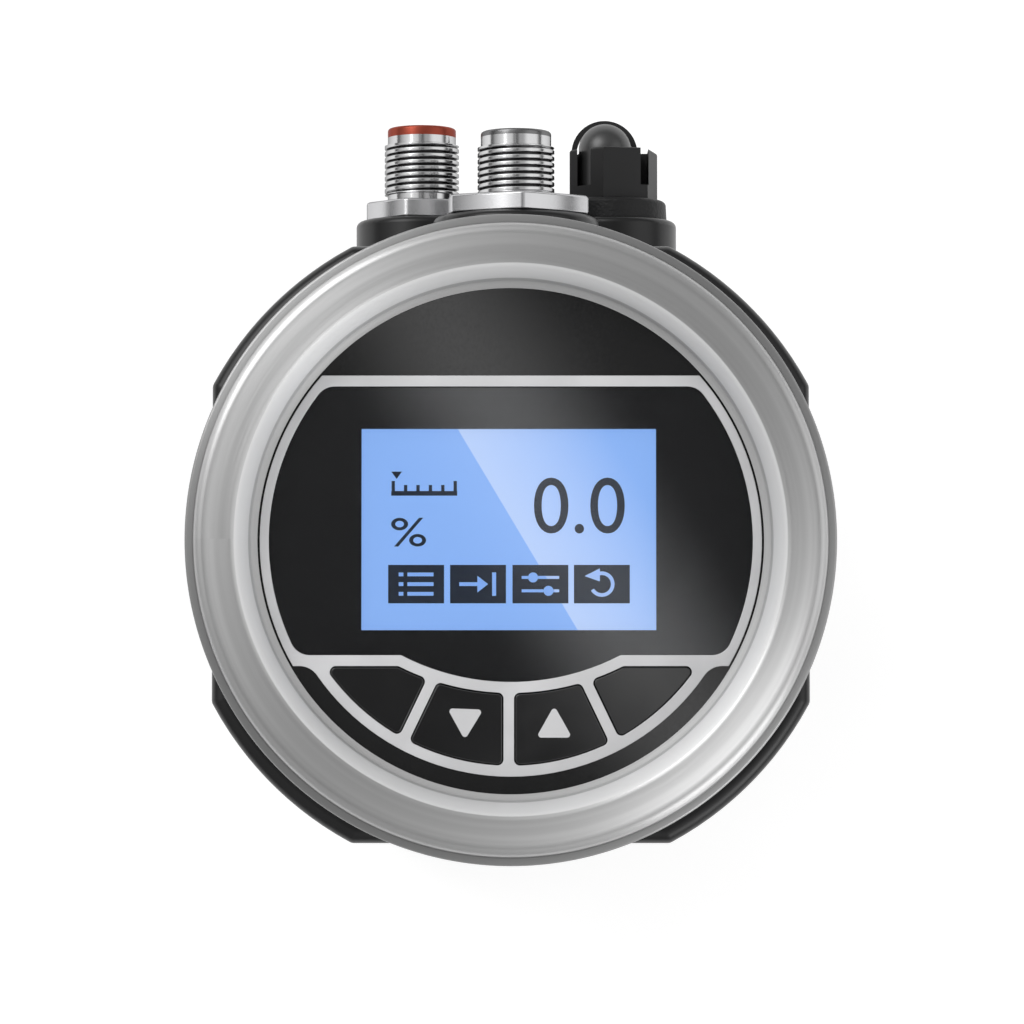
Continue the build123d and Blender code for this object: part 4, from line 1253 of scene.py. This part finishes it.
@dataclass
class DisplayPanel:
    """The black panel with its window, silver lines, keys and the display behind it."""

    glass_low: float = 84.3
    cell_top: float = 82.8
    ink: float = 0.03
    key_top: float = 85.75
    down_mark: tuple[Point, ...] = ((-9.43, -24.9), (-4.07, -25.1), (-6.83, -29.6))
    up_mark: tuple[Point, ...] = ((6.44, -24.5), (3.76, -29.25), (9.12, -29.25))
    reading_box: tuple[float, float, float, float] = (3.46, 1.15, 17.02, 9.5)
    percent_box: tuple[float, float, float, float] = (-17.87, -0.8, -12.64, 3.5)
    soft_keys: tuple[float, ...] = (-18.3, -9.06, 0.25, 9.42)
    soft_key_width: float = 8.34
    soft_key_low: float = -9.28
    soft_key_high: float = -3.54
    gauge_box: tuple[float, float, float, float] = (-17.86, 5.6, -8.0, 10.4)

    def printed(self, text: str, box: tuple[float, float, float, float], name: str) -> bpy.types.Object:
        """Sets figures in the display and fits them to a box.

        Args:
            text: The figures.
            box: The low and high corners, in millimetres.
            name: The piece's name.

        Returns:
            The figures as a mesh.
        """
        Bench.clear()
        bpy.ops.object.text_add(location=(0, 0, 0))
        letters = bpy.context.object
        letters.data.body = text
        letters.data.size = 0.01
        letters.data.resolution_u = 8
        letters.data.extrude = self.ink * MM / 2
        bpy.ops.object.convert(target="MESH")
        piece = bpy.context.object
        piece.name = name
        piece.data.name = name
        places = [vertex.co.copy() for vertex in piece.data.vertices]
        low = Vector([min(place[axis] for place in places) for axis in range(3)])
        high = Vector([max(place[axis] for place in places) for axis in range(3)])
        size = high - low
        target = Vector((box[2] - box[0], box[3] - box[1], self.ink)) * MM
        corner = Vector((box[0], box[1], self.cell_top)) * MM
        for vertex in piece.data.vertices:
            for axis in range(3):
                vertex.co[axis] = corner[axis] + (vertex.co[axis] - low[axis]) * target[axis] / size[axis]
        Bench.edit(piece)
        bpy.ops.mesh.remove_doubles(threshold=0.000001)
        bpy.ops.mesh.normals_make_consistent(inside=False)
        Bench.settle(piece)
        return piece

    def bar(self, name: str, low: Point, high: Point, layer: int = 0) -> bpy.types.Object:
        """Makes one flat bar of the display.

        Args:
            name: The piece's name.
            low: Its low corner.
            high: Its high corner.
            layer: How many ink layers lie under it.

        Returns:
            The bar.
        """
        base = self.cell_top + layer * self.ink
        outline = [low, (high[0], low[1]), high, (low[0], high[1])]
        return Bench.plate(name, outline, base, base + self.ink)

    def shape(self, name: str, outline: Sequence[Point], layer: int = 0) -> bpy.types.Object:
        """Makes one flat shape of the display from its outline."""
        base = self.cell_top + layer * self.ink
        return Bench.plate(name, outline, base, base + self.ink)

    def gauge(self) -> bpy.types.Object:
        """Makes the position gauge: a scale with ticks and a pointer."""
        left, low, right, high = self.gauge_box
        pieces = [self.bar("gauge_line", (left, low + 1.2), (right, low + 1.9))]
        for number in range(6):
            x = left + 0.3 + number * (right - left - 0.6) / 5
            tall = 1.5 if number in (0, 5) else 0.9
            pieces.append(self.bar(f"gauge_tick_{number}", (x - 0.25, low + 1.9), (x + 0.25, low + 1.9 + tall)))
        pointer = [(left + 1.6, high), (left + 0.0, high), (left + 0.8, high - 1.1)]
        pieces.append(self.shape("gauge_pointer", pointer))
        return Bench.merge("display_gauge", pieces)

    def soft_key_boxes(self) -> bpy.types.Object:
        """Makes the four dark boxes along the display's lower edge."""
        pieces = []
        for number, left in enumerate(self.soft_keys):
            low, high = (left, self.soft_key_low), (left + self.soft_key_width, self.soft_key_high)
            pieces.append(self.bar(f"soft_key_{number}", low, high))
        return Bench.merge("display_soft_keys", pieces)

    def soft_key_icons(self) -> bpy.types.Object:
        """Makes a plain sign for each soft key: a list, an arrow in, two sliders and a turning handle."""
        middle = (self.soft_key_low + self.soft_key_high) / 2
        centres = [left + self.soft_key_width / 2 for left in self.soft_keys]
        pieces = []
        for row in range(3):
            y = middle + 1.45 - row * 1.45
            pieces.append(self.bar(f"list_dot_{row}", (centres[0] - 2.6, y - 0.28), (centres[0] - 1.9, y + 0.28), 1))
            pieces.append(self.bar(f"list_row_{row}", (centres[0] - 1.3, y - 0.28), (centres[0] + 2.6, y + 0.28), 1))
        x = centres[1]
        pieces.append(self.bar("arrow_shaft", (x - 2.8, middle - 0.28), (x + 0.4, middle + 0.28), 1))
        pieces.append(self.shape("arrow_head", [(x + 1.5, middle), (x - 0.1, middle + 1.25), (x - 0.1, middle - 1.25)], 1))
        pieces.append(self.bar("arrow_stop", (x + 2.1, middle - 1.75), (x + 2.7, middle + 1.75), 1))
        x = centres[2]
        for row, knob in ((1, -1.1), (-1, 1.2)):
            y = middle + row * 1.0
            pieces.append(self.bar(f"slide_left_{row}", (x - 2.8, y - 0.22), (x + knob - 0.75, y + 0.22), 1))
            pieces.append(self.bar(f"slide_right_{row}", (x + knob + 0.75, y - 0.22), (x + 2.8, y + 0.22), 1))
            pieces.append(self.shape(f"slide_knob_{row}", arc((x + knob, y), 0.75, 0, 345, 23), 1))
        x = centres[3]
        sweep = arc((x, middle), 1.9, 120, -150, 28) + arc((x, middle), 1.35, -150, 120, 28)
        pieces.append(self.shape("turn_sweep", sweep, 1))
        tip = [(x - 2.6, middle + 1.2), (x - 0.3, middle + 2.35), (x - 0.3, middle + 0.4)]
        pieces.append(self.shape("turn_tip", tip, 1))
        return Bench.merge("display_soft_key_signs", pieces)

    def key_mark(self, name: str, corners: Sequence[Point], rounding: float = 0.45) -> bpy.types.Object:
        """Makes the silver triangle printed on a key.

        Args:
            name: The piece's name.
            corners: The triangle's corners.
            rounding: The radius of its corners.

        Returns:
            The mark.
        """
        centre = Vector((sum(x for x, _ in corners) / 3, sum(y for _, y in corners) / 3))
        outline: list[Point] = []
        order = sorted(corners, key=lambda spot: math.atan2(spot[1] - centre.y, spot[0] - centre.x))
        for number, corner in enumerate(order):
            here = Vector(corner)
            before = (Vector(order[number - 1]) - here).normalized()
            after = (Vector(order[(number + 1) % 3]) - here).normalized()
            half = before.angle(after) / 2
            middle = here + (before + after).normalized() * (rounding / math.sin(half))
            first = middle - here - before * (middle - here).dot(before)
            last = middle - here - after * (middle - here).dot(after)
            start = math.degrees(math.atan2(-first.y, -first.x))
            end = math.degrees(math.atan2(-last.y, -last.x))
            end += 360 if end < start else 0
            outline += arc((middle.x, middle.y), rounding, start, end, 7)
        return Bench.plate(name, outline, self.key_top - 0.02, self.key_top + 0.03)

    def window(self, shop: Workshop) -> None:
        """Finishes the window, a hair clear of the panel that it lies in."""
        glass = shop.carry("display_window")
        Bench.select(glass, vertex=lambda place: place.z < (self.glass_low + 0.01) * MM)
        bpy.ops.transform.translate(value=(0, 0, 0.03 * MM))
        Bench.settle(glass)

    def build(self, shop: Workshop) -> None:
        """Makes and finishes the panel's pieces.

        Args:
            shop: Where finishes and bodies come from.
        """
        root = Body.POSITIONER
        shop.dress_node("front_panel")
        self.window(shop)
        shop.carry("trim_frame", bevel=0.07)
        for node, body in (("key_left", Body.LEFT_KEY), ("key_down", Body.DOWN_KEY),
                           ("key_up", Body.UP_KEY), ("key_right", Body.RIGHT_KEY)):
            shop.carry(node, body, bevel=0.14)
        shop.fit(self.key_mark("key_down_mark", self.down_mark), Body.DOWN_KEY, "silver_trim")
        shop.fit(self.key_mark("key_up_mark", self.up_mark), Body.UP_KEY, "silver_trim")
        for node in ("lcd_cell", "lcd_frame", "panel_seal", "key_switches"):
            shop.dress_node(node)
        reading = self.printed("0.0", self.reading_box, "display_reading")
        percent = self.printed("%", self.percent_box, "display_percent")
        for piece in (reading, percent, self.gauge(), self.soft_key_boxes()):
            shop.fit(piece, root, "lcd_blue", finish="lcd_ink")
        shop.fit(self.soft_key_icons(), root, "lcd_blue", finish="lcd_clear")


@dataclass
class HousingAndBase:
    """The moulded housing, the base plate and the adapter with the actuator's socket."""

    nodes: tuple[str, ...] = ("housing", "bezel_seal", "base_plate", "base_seal", "base_screws", "adapter",
                              "adapter_screws", "set_screws", "socket_seal", "supply_port_seal", "exhaust_port_seal")

    def build(self, shop: Workshop) -> None:
        """Finishes the pieces, whose shapes stay.

        Args:
            shop: Where finishes and bodies come from.
        """
        for node in self.nodes:
            shop.dress_node(node)


@dataclass
class Workings:
    """What is inside: the travel spindle and its sensor, the pneumatic block, the valves and the boards."""

    nodes: tuple[str, ...] = ("travel_spindle", "travel_carriage", "sensor_magnet", "spindle_bush", "spindle_seal",
                              "travel_sensor", "sensor_bracket", "bracket_screws", "pneumatic_block", "fill_valve",
                              "vent_valve", "block_screws", "main_board", "board_header", "display_board",
                              "board_screws")

    def build(self, shop: Workshop) -> None:
        """Finishes the pieces, whose shapes stay.

        Args:
            shop: Where finishes and bodies come from.
        """
        for node in self.nodes:
            shop.dress_node(node)


@dataclass(frozen=True)
class SoftLobe:
    """One soft, round patch of light in the surroundings."""

    toward: tuple[float, float, float]
    inner: float
    outer: float
    strength: float


@dataclass
class Studio:
    """The camera, the white floor, the surroundings and the lamps."""

    camera_place: tuple[float, float, float] = (0.00018, -0.02176, 0.68144)
    camera_tilt: float = 2.5
    lens: float = 140.98
    base_light: float = 0.64
    lobes: tuple[SoftLobe, ...] = (
        SoftLobe((-0.48, 0.48, 0.73), 6.0, 44.0, 0.74),
        SoftLobe((0.48, -0.48, 0.73), 6.0, 42.0, 0.46),
        SoftLobe((0.82, 0.10, 0.57), 10.0, 32.0, 0.80),
        SoftLobe((-0.82, 0.10, 0.57), 10.0, 30.0, 0.05),
    )
    dark_disc: SoftLobe = SoftLobe((0.0, 0.0, 1.0), 8.0, 14.0, 0.85)
    horizon: Point = (0.10, 0.34)
    horizon_level: float = 0.3
    floor_glow: float = 0.70
    strip_normal: Point = (0.859, 0.512)
    strip_middle: float = 0.0323
    strip_half_width: float = 0.031
    strip_strength: float = 0.86

    def camera(self) -> None:
        """Sets the camera up where the picture is taken from."""
        Bench.clear()
        bpy.ops.object.camera_add(location=self.camera_place, rotation=(math.radians(self.camera_tilt), 0, 0))
        camera = bpy.context.object
        camera.name = "studio_camera"
        camera.data.lens = self.lens
        camera.data.sensor_width = 36.0
        camera.data.clip_start = 0.01
        camera.data.clip_end = 20.0
        bpy.context.scene.camera = camera

    def patch(self, graph: Graph, direction: bpy.types.NodeSocket, lobe: SoftLobe) -> bpy.types.NodeSocket:
        """Adds the nodes of one soft patch.

        Args:
            graph: The surroundings' nodes.
            direction: The direction that is looked in.
            lobe: The patch.

        Returns:
            Its strength in that direction.
        """
        product = graph.node("ShaderNodeVectorMath", operation="DOT_PRODUCT")
        product.inputs[1].default_value = Vector(lobe.toward).normalized()
        graph.join(direction, product.inputs[0])
        edge = graph.node("ShaderNodeMapRange", interpolation_type="SMOOTHSTEP")
        edge.inputs["From Min"].default_value = math.cos(math.radians(lobe.outer))
        edge.inputs["From Max"].default_value = math.cos(math.radians(lobe.inner))
        edge.inputs["To Min"].default_value = 0.0
        edge.inputs["To Max"].default_value = lobe.strength
        graph.join(product.outputs["Value"], edge.inputs["Value"])
        return edge.outputs["Result"]

    def ease(self, graph: Graph, value: bpy.types.NodeSocket, edges: Point, levels: Point) -> bpy.types.NodeSocket:
        """Adds a smooth change from one level to another.

        Args:
            graph: The surroundings' nodes.
            value: The value that is read.
            edges: Where the change starts and ends.
            levels: The levels before and after it.

        Returns:
            The level.
        """
        made = graph.node("ShaderNodeMapRange", interpolation_type="SMOOTHSTEP")
        for name, number in zip(("From Min", "From Max", "To Min", "To Max"), (*edges, *levels)):
            made.inputs[name].default_value = number
        graph.join(value, made.inputs["Value"])
        return made.outputs["Result"]

    def low_down(self, graph: Graph, direction: bpy.types.NodeSocket) -> bpy.types.NodeSocket:
        """Adds the nodes that dim the surroundings near the horizon, and returns their level."""
        parts = graph.node("ShaderNodeSeparateXYZ")
        graph.join(direction, parts.inputs[0])
        return self.ease(graph, parts.outputs["Z"], self.horizon, (self.horizon_level, 1.0))

    def strip(self, graph: Graph, direction: bpy.types.NodeSocket) -> bpy.types.NodeSocket:
        """Adds the nodes of the soft slanting strip overhead.

        Args:
            graph: The surroundings' nodes.
            direction: The direction that is looked in.

        Returns:
            Its strength in that direction.
        """
        across = graph.node("ShaderNodeVectorMath", operation="DOT_PRODUCT")
        across.inputs[1].default_value = (*self.strip_normal, 0.0)
        graph.join(direction, across.inputs[0])
        away = graph.maths("ABSOLUTE", graph.maths("SUBTRACT", across.outputs["Value"], self.strip_middle))
        share = graph.node("ShaderNodeMapRange", interpolation_type="SMOOTHSTEP")
        share.inputs["From Min"].default_value = self.strip_half_width
        share.inputs["From Max"].default_value = 0.0
        share.inputs["To Min"].default_value = 0.0
        share.inputs["To Max"].default_value = self.strip_strength
        graph.join(away, share.inputs["Value"])
        near = self.patch(graph, direction, SoftLobe((0.0, 0.0, 1.0), 8.0, 12.0, 1.0))
        return graph.maths("MULTIPLY", share.outputs["Result"], near)

    def surroundings(self) -> None:
        """Makes the world: soft patches of light all round, and white to the camera."""
        world = bpy.data.worlds.new("studio_surroundings")
        bpy.context.scene.world = world
        world.use_nodes = True
        graph = Graph.__new__(Graph)
        graph.tree = world.node_tree
        graph.tree.nodes.clear()
        output = graph.node("ShaderNodeOutputWorld")
        direction = graph.node("ShaderNodeTexCoord").outputs["Generated"]
        level: bpy.types.NodeSocket | None = None
        for lobe in self.lobes:
            patch = self.patch(graph, direction, lobe)
            level = graph.maths("ADD", level if level is not None else self.base_light, patch)
        hole = graph.maths("SUBTRACT", 1.0, self.patch(graph, direction, self.dark_disc))
        level = graph.maths("MULTIPLY", level, hole)
        level = graph.maths("MULTIPLY", level, self.low_down(graph, direction))
        level = graph.maths("ADD", level, self.strip(graph, direction))
        lit = graph.node("ShaderNodeBackground")
        graph.join(level, lit.inputs["Strength"])
        white = graph.node("ShaderNodeBackground")
        path = graph.node("ShaderNodeLightPath")
        mix = graph.node("ShaderNodeMixShader")
        graph.join(path.outputs["Is Camera Ray"], mix.inputs[0])
        graph.join(lit.outputs[0], mix.inputs[1])
        graph.join(white.outputs[0], mix.inputs[2])
        graph.join(mix.outputs[0], output.inputs["Surface"])

    def floor(self) -> None:
        """Lays the white floor, which keeps a faint shadow."""
        Bench.clear()
        bpy.ops.mesh.primitive_plane_add(size=6.0, location=(0, 0, -0.0005))
        floor = bpy.context.object
        floor.name = "studio_floor"
        graph = Graph("studio_white")
        grain = graph.noise(graph.place(), 30.0, 2.0)
        paint = graph.node("ShaderNodeBsdfDiffuse")
        graph.join(graph.ramp(grain, (0.46, 0.46, 0.46), (0.48, 0.48, 0.48)), paint.inputs["Color"])
        glow = graph.node("ShaderNodeEmission")
        path = graph.node("ShaderNodeLightPath")
        seen = graph.maths("MAXIMUM", path.outputs["Is Camera Ray"], path.outputs["Is Glossy Ray"])
        seen = graph.maths("MAXIMUM", seen, path.outputs["Is Transmission Ray"])
        graph.join(graph.maths("MULTIPLY", seen, self.floor_glow), glow.inputs["Strength"])
        both = graph.node("ShaderNodeAddShader")
        graph.join(paint.outputs[0], both.inputs[0])
        graph.join(glow.outputs[0], both.inputs[1])
        graph.join(both.outputs[0], graph.output.inputs["Surface"])
        floor.data.materials.append(graph.material)

    def lamp(self, name: str, place: tuple[float, float, float], size: float, power: float) -> None:
        """Hangs one soft lamp that points at the display.

        Args:
            name: The lamp's name.
            place: Where it hangs, in metres.
            size: The side of its square, in metres.
            power: Its power in watts.
        """
        Bench.clear()
        bpy.ops.object.light_add(type="AREA", location=place)
        lamp = bpy.context.object
        lamp.name = name
        lamp.data.size = size
        lamp.data.energy = power
        aim = Vector((0, 0, 0.07)) - Vector(place)
        lamp.rotation_euler = aim.to_track_quat("-Z", "Y").to_euler()

    def build(self) -> None:
        """Makes the whole studio."""
        self.camera()
        self.surroundings()
        self.floor()
        self.lamp("key_lamp", (-0.55, 0.55, 0.75), 0.6, 3.6)
        self.lamp("fill_lamp", (0.7, -0.7, 0.6), 0.6, 3.0)


@dataclass
class Positioner:
    """The whole valve positioner, sub-assembly by sub-assembly."""

    parts: list[object] = field(default_factory=lambda: [
        HousingAndBase(),
        BezelRing(),
        DisplayPanel(),
        PlugConnector("left", -14.35, 38.0, 53.0, 12.1, 1.3, 1.3, 1.5, 4, "red_ring"),
        PlugConnector("middle", 0.8, 59.0, 51.2, 10.5, 0.6, 1.6, 0.9, 5, "dark_ring"),
        ReliefValve(),
        AirPort("supply_port", -14.0),
        AirPort("exhaust_port", 14.0),
        Workings(),
    ])

    def build(self, shop: Workshop) -> None:
        """Builds every sub-assembly in turn.

        Args:
            shop: Where finishes and bodies come from.
        """
        for part in self.parts:
            LOG.info("building %s", type(part).__name__)
            part.build(shop)


def main() -> None:
    """Builds the studio and the positioner."""
    logging.basicConfig(level=logging.INFO, format="%(name)s: %(message)s")
    bpy.context.scene.view_settings.view_transform = "Standard"
    shop = Workshop()
    Studio().build()
    Positioner().build(shop)
    Bench.clear()


if __name__ == "__main__":
    main()
